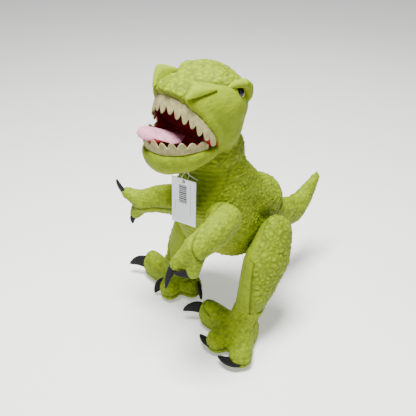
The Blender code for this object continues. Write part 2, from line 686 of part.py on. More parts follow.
# The plastic loop passes through the tag's hole, and its stem goes into the seam under the neck.
loop_rise = math.sqrt(LOOP_RADIUS**2 - LOOP_SETBACK**2)
loop_centre = TAG_PIVOT + Vector((0, LOOP_SETBACK, loop_rise))
loop = bpy.data.curves.new("tag_loop", "CURVE")
loop.dimensions = "3D"
loop.bevel_depth = LOOP_WIRE * MM
loop.bevel_resolution = 1
ring = loop.splines.new("POLY")
RING_POINTS = 20
ring.points.add(RING_POINTS - 1)
for n, point in enumerate(ring.points):
    angle = 2 * math.pi * n / RING_POINTS
    place = loop_centre + LOOP_RADIUS * Vector((0, math.cos(angle), math.sin(angle)))
    point.co = (*(place * MM), 1)
ring.use_cyclic_u = True
loop_curve = bpy.data.objects.new("loop_curve", loop)
guides.objects.link(loop_curve)
loop_mesh = bpy.data.meshes.new_from_object(loop_curve.evaluated_get(bpy.context.evaluated_depsgraph_get()))
bpy.data.objects.remove(loop_curve, do_unlink=True)
fastener = new_object("tag_loop", loop_mesh)
stem_start = loop_centre + Vector((0, LOOP_RADIUS, 0))
boolean(fastener, rod("tag_stem", stem_start, (TAG_PIVOT.x, -26, 272), LOOP_WIRE, segments=8), "UNION")
boolean(fastener, clearance(torso_form))
finish(fastener, "tag_fastener", CLEAR_PLASTIC, TAG_PIVOT)
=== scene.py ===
"""Stuffed toy dinosaur: plush skins, felt mouth, felt claws, eyes and a paper tag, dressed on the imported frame.

Lengths are millimetres from a working origin on the floor under the neck, as in the part's source, until a mesh
is placed: then they are metres in the row frame. The dinosaur faces -Y and its left side is +X.
A stuffed skin starts as a field, the distance to a string of ellipsoids; the skin is the surface where the field
is zero. The plush pattern, the wrinkles and the seams are then raised or sunk in that surface.
"""

from __future__ import annotations

import logging
import math
from dataclasses import dataclass, field
from enum import Enum
from itertools import product

import bpy
import numpy as np
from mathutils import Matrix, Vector


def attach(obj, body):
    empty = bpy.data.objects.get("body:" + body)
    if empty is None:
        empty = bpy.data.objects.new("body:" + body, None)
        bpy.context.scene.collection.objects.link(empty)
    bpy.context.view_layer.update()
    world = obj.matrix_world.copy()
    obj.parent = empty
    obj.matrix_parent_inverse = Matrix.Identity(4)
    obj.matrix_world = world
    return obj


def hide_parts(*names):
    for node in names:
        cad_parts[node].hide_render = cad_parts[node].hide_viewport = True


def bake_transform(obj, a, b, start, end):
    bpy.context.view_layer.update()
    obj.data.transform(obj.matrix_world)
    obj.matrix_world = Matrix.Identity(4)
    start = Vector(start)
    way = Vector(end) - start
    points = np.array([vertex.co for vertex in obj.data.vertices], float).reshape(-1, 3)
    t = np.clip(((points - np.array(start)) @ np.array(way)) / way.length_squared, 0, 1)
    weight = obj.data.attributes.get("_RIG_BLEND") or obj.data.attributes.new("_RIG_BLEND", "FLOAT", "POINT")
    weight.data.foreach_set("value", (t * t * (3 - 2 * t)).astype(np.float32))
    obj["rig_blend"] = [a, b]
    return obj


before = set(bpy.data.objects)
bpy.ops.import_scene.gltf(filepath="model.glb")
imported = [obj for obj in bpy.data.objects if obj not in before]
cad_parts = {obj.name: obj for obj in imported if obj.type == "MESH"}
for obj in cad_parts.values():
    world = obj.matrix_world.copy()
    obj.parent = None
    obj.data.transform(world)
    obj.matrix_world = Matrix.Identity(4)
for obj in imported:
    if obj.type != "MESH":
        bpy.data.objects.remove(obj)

log = logging.getLogger("dinosaur")
logging.basicConfig(level=logging.INFO, format="%(name)s: %(message)s")

Array = np.ndarray
Station = tuple[float, float, float, float, float, float]
Point = tuple[float, float, float]

SHIFT = np.array((40.3, -72.9, 0.0))
NECK_PIVOT = (0.0, 10.0, 306.0)
JAW_PIVOT = (0.0, -36.0, 343.0)
LIP_SLOPE = math.radians(59.0)
LIP_DROP = 3.0
JAW_TOP = 340.0
SWELL = 3.0
GAMMA = 2.2


class Side(Enum):
    """The dinosaur's own left and right; the value is the sign of X."""

    LEFT = 1
    RIGHT = -1

    @property
    def label(self) -> str:
        """The word that starts the names of this side's pieces."""
        return self.name.lower()


# ---------------------------------------------------------------- meshes


def row_point(point: Point) -> Vector:
    """A working point as a row-frame point in metres."""
    return Vector((np.array(point) + SHIFT) / 1000)


def mesh_object(name: str, points: Array, faces: Array) -> bpy.types.Object:
    """Puts a surface into the scene.

    Args:
        name: the piece's name.
        points: corner positions in working millimetres, one row each.
        faces: corner numbers, one row of three or four for each face.
    Returns:
        The new object, at the origin, with its place in its mesh.
    """
    mesh = bpy.data.meshes.new(name)
    sides = faces.shape[1]
    mesh.vertices.add(len(points))
    mesh.vertices.foreach_set("co", ((points + SHIFT) / 1000).astype(np.float32).ravel())
    mesh.loops.add(faces.size)
    mesh.loops.foreach_set("vertex_index", faces.astype(np.int32).ravel())
    mesh.polygons.add(len(faces))
    mesh.polygons.foreach_set("loop_start", np.arange(0, faces.size, sides, dtype=np.int32))
    mesh.update(calc_edges=True)
    mesh.shade_smooth()
    made = bpy.data.objects.new(name, mesh)
    bpy.context.scene.collection.objects.link(made)
    return made


def points_of(obj: bpy.types.Object) -> Array:
    """The mesh's vertices in working millimetres."""
    flat = np.empty(len(obj.data.vertices) * 3, np.float32)
    obj.data.vertices.foreach_get("co", flat)
    return flat.reshape(-1, 3).astype(float) * 1000 - SHIFT


def normals_of(obj: bpy.types.Object) -> Array:
    """The outward direction at each vertex."""
    flat = np.empty(len(obj.data.vertices) * 3, np.float32)
    obj.data.vertex_normals.foreach_get("vector", flat)
    return flat.reshape(-1, 3).astype(float)


def move_points(obj: bpy.types.Object, points: Array) -> None:
    """Writes working positions back into the mesh."""
    obj.data.vertices.foreach_set("co", ((points + SHIFT) / 1000).astype(np.float32).ravel())
    obj.data.update()


def set_values(obj: bpy.types.Object, name: str, values: Array) -> None:
    """Stores one number at each vertex for the materials."""
    store = obj.data.attributes.get(name) or obj.data.attributes.new(name, "FLOAT", "POINT")
    store.data.foreach_set("value", values.astype(np.float32))


def settled(obj: bpy.types.Object) -> bpy.types.Object:
    """Makes the modifiers' result the object's own mesh."""
    graph = bpy.context.evaluated_depsgraph_get()
    graph.update()
    mesh = bpy.data.meshes.new_from_object(obj.evaluated_get(graph))
    obj.modifiers.clear()
    obj.data = mesh
    return obj


def subdivided(obj: bpy.types.Object, levels: int) -> bpy.types.Object:
    """Rounds and refines a mesh by subdivision."""
    finer = obj.modifiers.new("finer", "SUBSURF")
    finer.levels = finer.render_levels = levels
    return settled(obj)


def relaxed(obj: bpy.types.Object, times: int) -> bpy.types.Object:
    """Evens out a mesh by moving each vertex towards its neighbours."""
    even = obj.modifiers.new("even", "SMOOTH")
    even.factor = 0.5
    even.iterations = times
    return settled(obj)


def grid_faces(rows: int, columns: int, wrap: bool = False) -> Array:
    """Quads between neighbours of a grid of points.

    Args:
        rows: points along the first parameter.
        columns: points along the second parameter.
        wrap: whether the last column joins the first.
    Returns:
        Corner numbers, four for each face.
    """
    number = np.arange(rows * columns).reshape(rows, columns)
    if wrap:
        number = np.concatenate([number, number[:, :1]], axis=1)
    return np.stack([number[:-1, :-1], number[:-1, 1:], number[1:, 1:], number[1:, :-1]], axis=-1).reshape(-1, 4)


def closed_tube(name: str, rings: Array) -> bpy.types.Object:
    """A tube of rings with both ends closed by a fan.

    Args:
        name: the piece's name.
        rings: an array of rings, each a loop of points; the loops turn the right-hand way round the path.
    Returns:
        The new object, with its normals facing outwards.
    """
    count, around = rings.shape[:2]
    points = np.concatenate([rings.reshape(-1, 3), rings[:1].mean(1), rings[-1:].mean(1)])
    quads = grid_faces(count, around, wrap=True)
    loop = np.arange(around)
    after = np.roll(loop, -1)
    last = (count - 1) * around
    start = np.stack([np.full(around, len(points) - 2), after, loop], axis=1)
    end = np.stack([np.full(around, len(points) - 1), last + loop, last + after], axis=1)
    triangles = np.concatenate([quads[:, [0, 1, 2]], quads[:, [0, 2, 3]], start, end])
    return facing_out(mesh_object(name, points, triangles))


def walled(obj: bpy.types.Object, thickness: float) -> bpy.types.Object:
    """Gives a sheet a wall of even thickness, in metres, about its middle, closed at its edges."""
    wall = obj.modifiers.new("wall", "SOLIDIFY")
    wall.thickness, wall.offset = thickness, 0.0
    return facing_out(settled(obj))


def facing_out(obj: bpy.types.Object) -> bpy.types.Object:
    """Turns every face of a closed mesh outwards, by the sign of its volume."""
    obj.data.calc_loop_triangles()
    corner = np.empty(len(obj.data.loop_triangles) * 3, np.int32)
    obj.data.loop_triangles.foreach_get("vertices", corner)
    points = points_of(obj)[corner.reshape(-1, 3)]
    if np.einsum("ij,ij->i", points[:, 0], np.cross(points[:, 1], points[:, 2])).sum() < 0:
        obj.data.flip_normals()
    return obj


# ---------------------------------------------------------------- fields


def strung(points: Array, chains: list[list[Station]], steps: int = 6) -> Array:
    """The distance to ellipsoids strung between stations.

    With q the point from a bead's centre and r its radii, k0 = |q / r| and k1 = |q / r squared|, the distance to
    the bead is about k0 (k0 - 1) / k1. The nearest bead counts.

    Args:
        points: where to measure, one row each, in millimetres.
        chains: strings of stations (x, y, z, half width, half length, half height).
        steps: beads from one station to the next.
    Returns:
        One distance for each point, below zero inside.
    """
    nearest = np.full(len(points), 1e9, np.float32)
    for chain in chains:
        stations = np.array(chain, np.float32)
        places = np.linspace(0, len(stations) - 1, (len(stations) - 1) * steps + 1)
        beads = np.stack([np.interp(places, np.arange(len(stations)), column) for column in stations.T], axis=1)
        for bead in beads.astype(np.float32):
            reach = points - bead[:3]
            k0 = np.sqrt(np.square(reach / bead[3:]).sum(1))
            k1 = np.sqrt(np.square(reach / np.square(bead[3:])).sum(1)) + 1e-6
            np.minimum(nearest, k0 * (k0 - 1) / k1, out=nearest)
    return nearest


def joined(a: Array, b: Array, fillet: float) -> Array:
    """Two fields as one, with a fillet where they meet: a smooth minimum."""
    share = np.clip(0.5 + 0.5 * (b - a) / fillet, 0, 1)
    return b * (1 - share) + a * share - fillet * share * (1 - share)


def cut(a: Array, b: Array, fillet: float) -> Array:
    """What of field a lies outside field b, with a rounded edge."""
    return -joined(-a, b, fillet)


@dataclass
class Lattice:
    """A box of evenly spaced points on which a field is worked out."""

    low: Array
    high: Array
    cell: float

    def __post_init__(self) -> None:
        """Works out how many points lie along each side."""
        self.low = np.array(self.low, float)
        self.shape = tuple(int(n) + 2 for n in np.ceil((np.array(self.high, float) - self.low) / self.cell))

    @classmethod
    def around(cls, chains: list[list[Station]], cell: float, margin: float = 12.0, top: float = 0.0) -> Lattice:
        """The lattice that holds every bead of the chains.

        Args:
            chains: the strings of stations.
            cell: the spacing, in millimetres.
            margin: how far the lattice goes past the beads.
            top: a height that it reaches in any case.
        Returns:
            The lattice.
        """
        stations = np.array([s for chain in chains for s in chain])
        low = (stations[:, :3] - stations[:, 3:]).min(0) - margin
        high = (stations[:, :3] + stations[:, 3:]).max(0) + margin
        high[2] = max(high[2], top)
        return cls(low, high, cell)

    def points(self) -> Array:
        """Every lattice point, one row each."""
        axes = [self.low[n] + np.arange(self.shape[n]) * self.cell for n in range(3)]
        return np.stack(np.meshgrid(*axes, indexing="ij"), axis=-1).reshape(-1, 3).astype(np.float32)

    def surface(self, values: Array) -> tuple[Array, Array]:
        """The closed surface where a field is zero.

        Every cell whose corners differ in sign gets one vertex, at the mean of the points where its edges cross
        zero, and every lattice edge that crosses zero gets a quad through the four cells round it.

        Args:
            values: the field at each lattice point.
        Returns:
            Vertices, and quads that face outwards.
        """
        f = values.reshape(self.shape)
        size = np.array(self.shape) - 1
        corners = [f[i : size[0] + i, j : size[1] + j, k : size[2] + k] for i, j, k in product((0, 1), repeat=3)]
        signs = np.stack(corners) < 0
        mixed = signs.any(0) & ~signs.all(0)
        number = np.full(mixed.shape, -1)
        number[mixed] = np.arange(mixed.sum())
        total = np.zeros((mixed.sum(), 3))
        crossings = np.zeros(mixed.sum())
        for axis, bit in enumerate((4, 2, 1)):
            for c in (n for n in range(8) if not n & bit):
                a, b = corners[c][mixed], corners[c | bit][mixed]
                crosses = (a < 0) != (b < 0)
                place = np.tile(np.array((c >> 2 & 1, c >> 1 & 1, c & 1), float), (len(a), 1))
                place[:, axis] = a / np.where(crosses, a - b, 1)
                total += place * crosses[:, None]
                crossings += crosses
        vertices = self.low + (np.argwhere(mixed) + total / crossings[:, None]) * self.cell
        quads = []
        for axis in range(3):
            before = np.take(f, range(size[axis]), axis) < 0
            after = np.take(f, range(1, size[axis] + 1), axis) < 0
            edges = np.argwhere(before != after)
            u, v = (axis + 1) % 3, (axis + 2) % 3
            edges = edges[(edges[:, u] > 0) & (edges[:, v] > 0) & (edges[:, u] < size[u]) & (edges[:, v] < size[v])]
            step_u, step_v = np.eye(3, dtype=int)[u], np.eye(3, dtype=int)[v]
            around = [edges - step_u - step_v, edges - step_v, edges, edges - step_u]
            quad = np.stack([number[tuple(cell.T)] for cell in around], axis=1)
            outward = before[tuple(edges.T)]
            quads.append(np.where(outward[:, None], quad, quad[:, ::-1]))
        return vertices, np.concatenate(quads)


# ---------------------------------------------------------------- surface patterns


def scattered(cells: Array, seed: float) -> Array:
    """A number from 0 to 1 for each whole-numbered cell: the fraction of a large sine."""
    wave = np.sin(cells @ np.array((127.1, 311.7, 74.7)) + seed * 57.3) * 43758.5453
    return wave - np.floor(wave)


def cellular(points: Array, size: float, seed: float = 0.0) -> tuple[Array, Array]:
    """The distances to the nearest and the second nearest of points scattered one to a cell, in cells."""
    scaled = points / size
    base = np.floor(scaled)
    first, second = np.full(len(points), 9.0), np.full(len(points), 9.0)
    for step in product((-1, 0, 1), repeat=3):
        cell = base + step
        spot = cell + np.stack([scattered(cell, seed + n) for n in range(3)], axis=1) * 0.85
        distance = np.linalg.norm(scaled - spot, axis=1)
        second = np.minimum(second, np.maximum(first, distance))
        first = np.minimum(first, distance)
    return first, second


def rolling(points: Array, size: float, seed: float = 0.0) -> Array:
    """Smooth noise from -1 to 1: scattered corner values eased across each cell."""
    scaled = points / size
    base = np.floor(scaled)
    ease = scaled - base
    ease = ease * ease * (3 - 2 * ease)
    total = np.zeros(len(points))
    for step in product((0, 1), repeat=3):
        weight = np.prod(np.where(step, ease, 1 - ease), axis=1)
        total += weight * scattered(base + step, seed)
    return total * 2 - 1


def eased(values: Array, low: float, high: float) -> Array:
    """0 below low, 1 above high, and a smooth step between."""
    t = np.clip((values - low) / (high - low), 0, 1)
    return t * t * (3 - 2 * t)


def seam(distance: Array, depth: float = 1.5, width: float = 1.5) -> Array:
    """The height of a sewn seam: a groove with the fabric puffed a little on both sides of it."""
    return -depth * np.exp(-np.square(distance / width)) + 0.3 * depth * np.exp(
        -np.square((np.abs(distance) - 3.4 * width) / (1.8 * width))
    )


def lip_frame(points: Array) -> Array:
    """Points in the upper lip's own frame, turned level about the jaw's pivot."""
    y, z = points[:, 1] - JAW_PIVOT[1], points[:, 2] - JAW_PIVOT[2]
    c, s = math.cos(LIP_SLOPE), math.sin(LIP_SLOPE)
    return np.stack([points[:, 0], c * y - s * z, s * y + c * z], axis=1)


def from_lip_frame(points: Array) -> Array:
    """The way back from the upper lip's frame."""
    c, s = math.cos(LIP_SLOPE), math.sin(LIP_SLOPE)
    y, z = c * points[..., 1] + s * points[..., 2], -s * points[..., 1] + c * points[..., 2]
    return np.stack([points[..., 0], y + JAW_PIVOT[1], z + JAW_PIVOT[2]], axis=-1)


@dataclass(frozen=True)
class MouthArch:
    """The U that a row of teeth and its lining follow.

    Across it x runs from -half_width to half_width, and forwards from the hinge to reach; a point's share v of the
    way out to the U is the 2.22 norm of (x / half_width, forward / reach).
    """

    half_width: float
    reach: float
    dome: float

    def outline(self, along: Array) -> tuple[Array, Array]:
        """Across and forward positions at places along the U, from -1 to 1."""
        angle = along * math.pi / 2
        across = self.half_width * np.sign(along) * np.abs(np.sin(angle)) ** 0.9
        return across, self.reach * np.clip(np.cos(angle), 0, 1) ** 0.9

    def share(self, across: Array, forward: Array) -> Array:
        """How far out a point lies, 0 at the hinge's middle and 1 on the U."""
        power = 2 / 0.9
        total = (np.abs(across) / self.half_width) ** power + (np.clip(forward, 0, None) / self.reach) ** power
        return total ** (1 / power)

    def height(self, across: Array, forward: Array) -> Array:
        """The lining's height above the U's plane."""
        share = np.clip(self.share(across, forward), 0, 1)
        return self.dome * (1 - share**3) * eased(forward, -2, 24)


UPPER_ARCH = MouthArch(half_width=51, reach=68, dome=17)
LOWER_ARCH = MouthArch(half_width=43, reach=62, dome=9)


# ---------------------------------------------------------------- shader expressions


class Wire:
    """A socket that can stand in a sum: each operator adds one Math node."""

    def __init__(self, shader: Shader, socket: bpy.types.NodeSocket) -> None:
        """Wraps a socket of a shader's tree."""
        self.shader = shader
        self.socket = socket

    def maths(self, operation: str, *values: Wire | float) -> Wire:
        """One Math node on this value and the others, in order."""
        inputs = dict(enumerate(values))
        return self.shader.add("ShaderNodeMath", {"operation": operation}, inputs).out(0)

    def __add__(self, other: Wire | float) -> Wire:
        """The sum of two values."""
        return self.maths("ADD", self, other)

    __radd__ = __add__

    def __sub__(self, other: Wire | float) -> Wire:
        """The difference."""
        return self.maths("SUBTRACT", self, other)

    def __rsub__(self, other: float) -> Wire:
        """A number less this value."""
        return self.maths("SUBTRACT", other, self)

    def __mul__(self, other: Wire | float) -> Wire:
        """The product."""
        return self.maths("MULTIPLY", self, other)

    __rmul__ = __mul__

    def __gt__(self, other: Wire | float) -> Wire:
        """1 where this is the greater."""
        return self.maths("GREATER_THAN", self, other)

    def __lt__(self, other: Wire | float) -> Wire:
        """1 where this is the less."""
        return self.maths("LESS_THAN", self, other)

    def eased(self, low: float, high: float) -> Wire:
        """0 below low, 1 above high, smooth between."""
        settings = {"interpolation_type": "SMOOTHSTEP"}
        return self.shader.add("ShaderNodeMapRange", settings, {0: self, 1: low, 2: high, 3: 0.0, 4: 1.0}).out(0)


class Added:
    """A node that has just been added, for picking its outputs."""

    def __init__(self, shader: Shader, node: bpy.types.Node) -> None:
        """Wraps a node of a shader's tree."""
        self.shader = shader
        self.node = node

    def out(self, name: str | int) -> Wire:
        """One output as a wire."""
        return Wire(self.shader, self.node.outputs[name])


class Shader:
    """One material's node tree, ending in a Principled shader."""

    def __init__(self, name: str) -> None:
        """Starts a material with its shader and output joined."""
        self.material = bpy.data.materials.new(name)
        self.material.use_nodes = True
        self.tree = self.material.node_tree
        self.tree.nodes.clear()
        self.surface = self.add("ShaderNodeBsdfPrincipled", {}, {}).node
        output = self.tree.nodes.new("ShaderNodeOutputMaterial")
        self.tree.links.new(self.surface.outputs[0], output.inputs["Surface"])

    def add(self, kind: str, settings: dict, inputs: dict) -> Added:
        """Adds a node.

        Args:
            kind: the node's type.
            settings: its properties, set first.
            inputs: values or wires by socket name or number.
        Returns:
            The node, for picking outputs.
        """
        node = self.tree.nodes.new(kind)
        for key, value in settings.items():
            setattr(node, key, value)
        for key, value in inputs.items():
            self.put(node.inputs[key], value)
        return Added(self, node)

    def put(self, socket: bpy.types.NodeSocket, value: Wire | float | tuple) -> None:
        """Links a wire into a socket, or sets the socket's own value."""
        if isinstance(value, Wire):
            self.tree.links.new(value.socket, socket)
        else:
            socket.default_value = value

    def set(self, name: str, value: Wire | float | tuple) -> None:
        """Gives one socket of the Principled shader its value or wire."""
        self.put(self.surface.inputs[name], value)

    def place(self) -> Wire:
        """Object coordinates, in metres."""
        return self.add("ShaderNodeTexCoord", {}, {}).out("Object")

    def value(self, name: str) -> Wire:
        """A number stored at each vertex."""
        return self.add("ShaderNodeAttribute", {"attribute_name": name}, {}).out("Fac")

    def mixed(self, share: Wire | float, a: Wire | tuple, b: Wire | tuple) -> Wire:
        """Colour a turning into colour b."""
        return self.add("ShaderNodeMix", {"data_type": "RGBA"}, {0: share, 6: a, 7: b}).out(2)

    def noise(self, place: Wire, size: float, detail: float = 3.0) -> Wire:
        """Cloudy noise about 0.5, with features of a size in metres."""
        return self.add("ShaderNodeTexNoise", {}, {"Vector": place, "Scale": 1 / size, "Detail": detail}).out(0)

    def bump(self, height: Wire, depth: float, strength: float = 1.0) -> None:
        """Feeds a height into the shader's Normal, with its depth in metres."""
        inputs = {"Height": height, "Distance": depth, "Strength": strength}
        self.set("Normal", self.add("ShaderNodeBump", {}, inputs).out(0))


def linear(red: int, green: int, blue: int) -> tuple[float, float, float, float]:
    """A screen colour from 0 to 255 as the shader's linear colour."""
    return (*(float(c) for c in (np.array((red, green, blue)) / 255) ** GAMMA), 1.0)


@dataclass(frozen=True)
class Plush:
    """Short lime velour: a painted highlight in a lighter colour on the crests of its embossing, painted shade, darker
    and yellower, in the grooves and along the seams, and a painted warm floor reflection on its undersides.
    """

    slot: str = "lime_plush"
    # The crest colour is a painted highlight and the groove colour is painted shade.
    crest: tuple = linear(124, 143, 3)
    ground: tuple = linear(96, 113, 1)
    groove: tuple = linear(62, 75, 0)
    # The warm colour is a painted reflection of a warm floor on the plush's undersides.
    warm: tuple = linear(120, 90, 2)

    def make(self) -> bpy.types.Material:
        """Builds the material."""
        s = Shader("lime_plush")
        place = s.place()
        relief, crease = s.value("relief"), s.value("crease")
        cloud = s.noise(place, 0.045, 2)
        pile = s.noise(place, 0.0011, 2)
        tuft = s.noise(place, 0.0036, 3)
        # Painted highlight: towards the lighter crest colour where the stored relief is high, loosened by tuft noise.
        body = s.mixed((relief * 0.7 + tuft * 0.4).eased(0.3, 0.95), self.ground, self.crest)
        body = s.mixed((cloud - 0.5).eased(0.0, 0.35) * 0.3, body, self.ground)
        # Painted shade: towards the groove colour where the stored relief is low.
        body = s.mixed((1 - relief).eased(0.45, 0.95) * 0.3, body, self.groove)
        # Painted shade in the seams' grooves.
        body = s.mixed(crease * 0.8, body, self.groove)
        body = s.mixed((pile - 0.5).eased(0.05, 0.3) * 0.2, body, self.crest)
        # Painted warm floor reflection on the surfaces that face down.
        body = s.mixed(s.value("under") * 0.30, body, self.warm)
        s.set("Base Color", body)
        s.set("Roughness", 0.62 + tuft * 0.25)
        s.set("Sheen Weight", 0.06)
        s.set("Sheen Roughness", 0.4)
        s.set("Sheen Tint", linear(226, 232, 80))
        s.set("Specular IOR Level", 0.22)
        s.bump(tuft * 0.7 + pile * 0.3, 0.0012, 0.85)
        return s.material


@dataclass(frozen=True)
class Felt:
    """Matted felt: a fibrous mottle of two shades and a fine fibre bump."""

    slot: str
    light: tuple
    dark: tuple
    sheen: float = 0.15
    roughness: float = 0.85

    def make(self) -> bpy.types.Material:
        """Builds the material."""
        s = Shader(self.slot)
        place = s.place()
        stretched = s.add("ShaderNodeMapping", {}, {"Vector": place, "Scale": (1.0, 1.0, 0.35)}).out(0)
        fibre = s.noise(stretched, 0.0007, 4)
        mottle = s.noise(place, 0.006, 3)
        crease = s.value("crease")
        body = s.mixed((fibre * 0.6 + mottle * 0.4).eased(0.35, 0.65), self.dark, self.light)
        # Painted shade: darker along the stored crease lines.
        s.set("Base Color", s.mixed(crease * 0.6, body, self.dark))
        s.set("Roughness", self.roughness - 0.1 + fibre * 0.2)
        s.set("Sheen Weight", self.sheen)
        s.set("Specular IOR Level", 0.25)
        s.bump(fibre * 0.7 + mottle * 0.3, 0.0005, 0.6)
        return s.material


@dataclass(frozen=True)
class EyePlastic:
    """Black moulded plastic with a gloss, and an amber rim where the stored value says so."""

    slot: str = "eye_plastic"
    amber: tuple = linear(226, 158, 24)
    black: tuple = linear(4, 4, 5)

    def make(self) -> bpy.types.Material:
        """Builds the material."""
        s = Shader("eye_plastic")
        s.set("Base Color", s.mixed(s.value("rim"), self.black, self.amber))
        scuff = s.noise(s.place(), 0.002, 3)
        s.set("Roughness", 0.06 + scuff * 0.08)
        s.set("Coat Weight", 0.15)
        s.set("Coat Roughness", 0.03)
        s.set("Specular IOR Level", 0.3)
        return s.material


@dataclass(frozen=True)
class ClearPlastic:
    """Milky nylon of the tag's loop and the eye washers."""

    slot: str = "clear_plastic"

    def make(self) -> bpy.types.Material:
        """Builds the material."""
        s = Shader("clear_plastic")
        haze = s.noise(s.place(), 0.003, 2)
        s.set("Base Color", s.mixed(haze, linear(216, 220, 224), linear(236, 238, 240)))
        s.set("Roughness", 0.25 + haze * 0.15)
        s.set("Transmission Weight", 0.35)
        return s.material


@dataclass(frozen=True)
class TagCard:
    """White card with a generic block of bars and a few grey rules, printed in the card's own frame."""

    slot: str = "tag_card"

    def make(self) -> bpy.types.Material:
        """Builds the material; u runs 0 to 1 across the card and v 0 to 1 up it."""
        s = Shader("tag_card")
        u, v = s.value("card_u"), s.value("card_v")
        place = s.place()
        fibre = s.noise(place, 0.0009, 3)
        bars_in = (v > 0.46) * (v < 0.86) * (u > 0.30) * (u < 0.62)
        narrow = (v * 61.0).maths("FRACT", v * 61.0) > 0.52
        wide = (v * 23.0).maths("FRACT", v * 23.0) > 0.46
        rule = (u > 0.76) * (u < 0.79) * (v > 0.22) * (v < 0.9) + (u > 0.14) * (u < 0.17) * (v > 0.3) * (v < 0.5)
        dashes = (v * 90.0).maths("FRACT", v * 90.0) > 0.35
        ink = bars_in * narrow.maths("MAXIMUM", narrow, wide) + rule * dashes * 0.55
        paper = s.mixed(fibre, linear(226, 230, 238), linear(240, 243, 248))
        s.set("Base Color", s.mixed(ink.eased(0.0, 1.0), paper, linear(58, 62, 74)))
        s.set("Roughness", 0.42 + fibre * 0.2)
        s.set("Coat Weight", 0.15)
        s.bump(fibre, 0.0001, 0.3)
        return s.material


@dataclass
class Wardrobe:
    """Every finish, made once."""

    plush: Plush = field(default_factory=Plush)
    mouth: Felt = field(default_factory=lambda: Felt("mouth_felt", linear(150, 0, 26), linear(104, 0, 14), 0.02))
    tooth: Felt = field(default_factory=lambda: Felt("tooth_felt", linear(162, 157, 112), linear(118, 112, 68), 0.02))
    tongue: Felt = field(
        default_factory=lambda: Felt("tongue_felt", linear(196, 140, 156), linear(166, 104, 126), 0.03))
    claw: Felt = field(default_factory=lambda: Felt("claw_felt", linear(14, 16, 19), linear(4, 5, 6), 0.08))
    eye: EyePlastic = field(default_factory=EyePlastic)
    nylon: ClearPlastic = field(default_factory=ClearPlastic)
    card: TagCard = field(default_factory=TagCard)

    def __post_init__(self) -> None:
        """Builds the materials."""
        finishes = (self.plush, self.mouth, self.tooth, self.tongue, self.claw, self.eye, self.nylon, self.card)
        self.made = {finish.slot: finish.make() for finish in finishes}

    def dress(self, obj: bpy.types.Object, finish: Plush | Felt | EyePlastic | ClearPlastic | TagCard) -> None:
        """Gives a piece one finish, in its one material slot."""
        obj.data.materials.clear()
        obj.data.materials.append(self.made[finish.slot])


# ---------------------------------------------------------------- stuffed skins


@dataclass
class Emboss:
    """How a plush skin's surface is worked: scales where the nap has them, wrinkles everywhere, and seams.

    Attributes:
        scale: the width of one embossed scale.
        rise: how far a scale's crest stands above its border.
        wrinkle: the height of the loose wrinkles.
        seam_depth: how deep a seam is sewn in.
    """

    scale: float = 8.0
    rise: float = 1.25
    wrinkle: float = 0.9
    seam_depth: float = 1.5

    def apply(self, obj: bpy.types.Object, smoothness: Array, seams: list[Array], ribs: Array | None = None) -> None:
        """Raises and sinks the surface and stores what the plush material reads.

        The scales' height is rise times an eased step of how much nearer the first cell point is than the second.
        The wrinkles are two sizes of noise, sharpened by taking them from 1 in absolute value.

        Args:
            obj: the skin, already fine enough.
            smoothness: 0 where the plush has scales and 1 where it is smooth, at each vertex.
            seams: the distance to each seam at each vertex.
            ribs: the height of extra ribbing, if any.
        """
        points, normals = points_of(obj), normals_of(obj)
        warp = np.stack([rolling(points, 14, seed) for seed in (3, 5, 7)], axis=1) * 2.5
        first, second = cellular((points + warp) * np.array((1, 1, 1.25)), self.scale)
        dome = eased(second - first, 0.02, 0.55) * (1.1 - 0.5 * first)
        folds = 1 - np.abs(rolling(points + warp * 2, 19, 1)) * 2
        fine = 1 - np.abs(rolling(points * np.array((1, 1, 1.6)) + warp, 7.5, 2)) * 2
        height = (1 - smoothness) * (dome - 0.5) * self.rise
        height += self.wrinkle * (0.45 * folds + 0.4 * fine) * (1 - 0.5 * smoothness)
        # Stored for the plush's colour: high on the crests of scales, wrinkles and ribs for a painted highlight, low in
        # the grooves for painted shade.
        relief = (1 - smoothness) * (0.25 + 0.5 * dome + 0.25 * fine) + smoothness * (0.6 + 0.15 * fine + 0.1 * folds)
        # Painted shade along each seam's groove, stored for the materials; deeper seams are shaded more.
        crease = np.zeros(len(points))
        for distance in seams:
            height += seam(distance, self.seam_depth)
            crease = np.maximum(crease, self.seam_depth / 1.5 * np.exp(-np.square(distance / 1.1)))
        if ribs is not None:
            height += ribs
            relief = relief + ribs * 0.25
        # How far each surface faces down, for the painted warm floor reflection.
        under = eased(-normals[:, 2], 0.25, 0.95)
        move_points(obj, points + normals * height[:, None])
        set_values(obj, "relief", np.clip(relief, 0, 1))
        set_values(obj, "crease", crease)
        set_values(obj, "under", under)


def plumped(obj: bpy.types.Object, cap: float, pressure: float = 4.0) -> bpy.types.Object:
    """Lets stuffing press the skin out as cloth, for twenty frames, by no more than a cap.

    Args:
        obj: an even closed skin of 4 to 6 mm cells.
        cap: the furthest that a vertex may move, in millimetres.
        pressure: the stuffing's pressure.
    Returns:
        The same object, with the swelling in its mesh.
    """
    rest = points_of(obj)
    cloth = obj.modifiers.new("stuffing", "CLOTH")
    settings = cloth.settings
    settings.use_pressure = True
    settings.uniform_pressure_force = pressure
    settings.effector_weights.gravity = 0
    settings.quality = 4
    cloth.point_cache.frame_start, cloth.point_cache.frame_end = 1, 20
    for number in range(1, cloth.point_cache.frame_end + 1):
        bpy.context.scene.frame_set(number)
    graph = bpy.context.evaluated_depsgraph_get()
    mesh = bpy.data.meshes.new_from_object(obj.evaluated_get(graph))
    obj.modifiers.clear()
    obj.data = mesh
    bpy.context.scene.frame_set(1)
    move = points_of(obj) - rest
    length = np.linalg.norm(move, axis=1, keepdims=True) + 1e-9
    move_points(obj, rest + move / length * np.minimum(length, cap))
    log.info("%s: its stuffing moves it by %.2f mm on average", obj.name, float(length.mean()))
    return obj


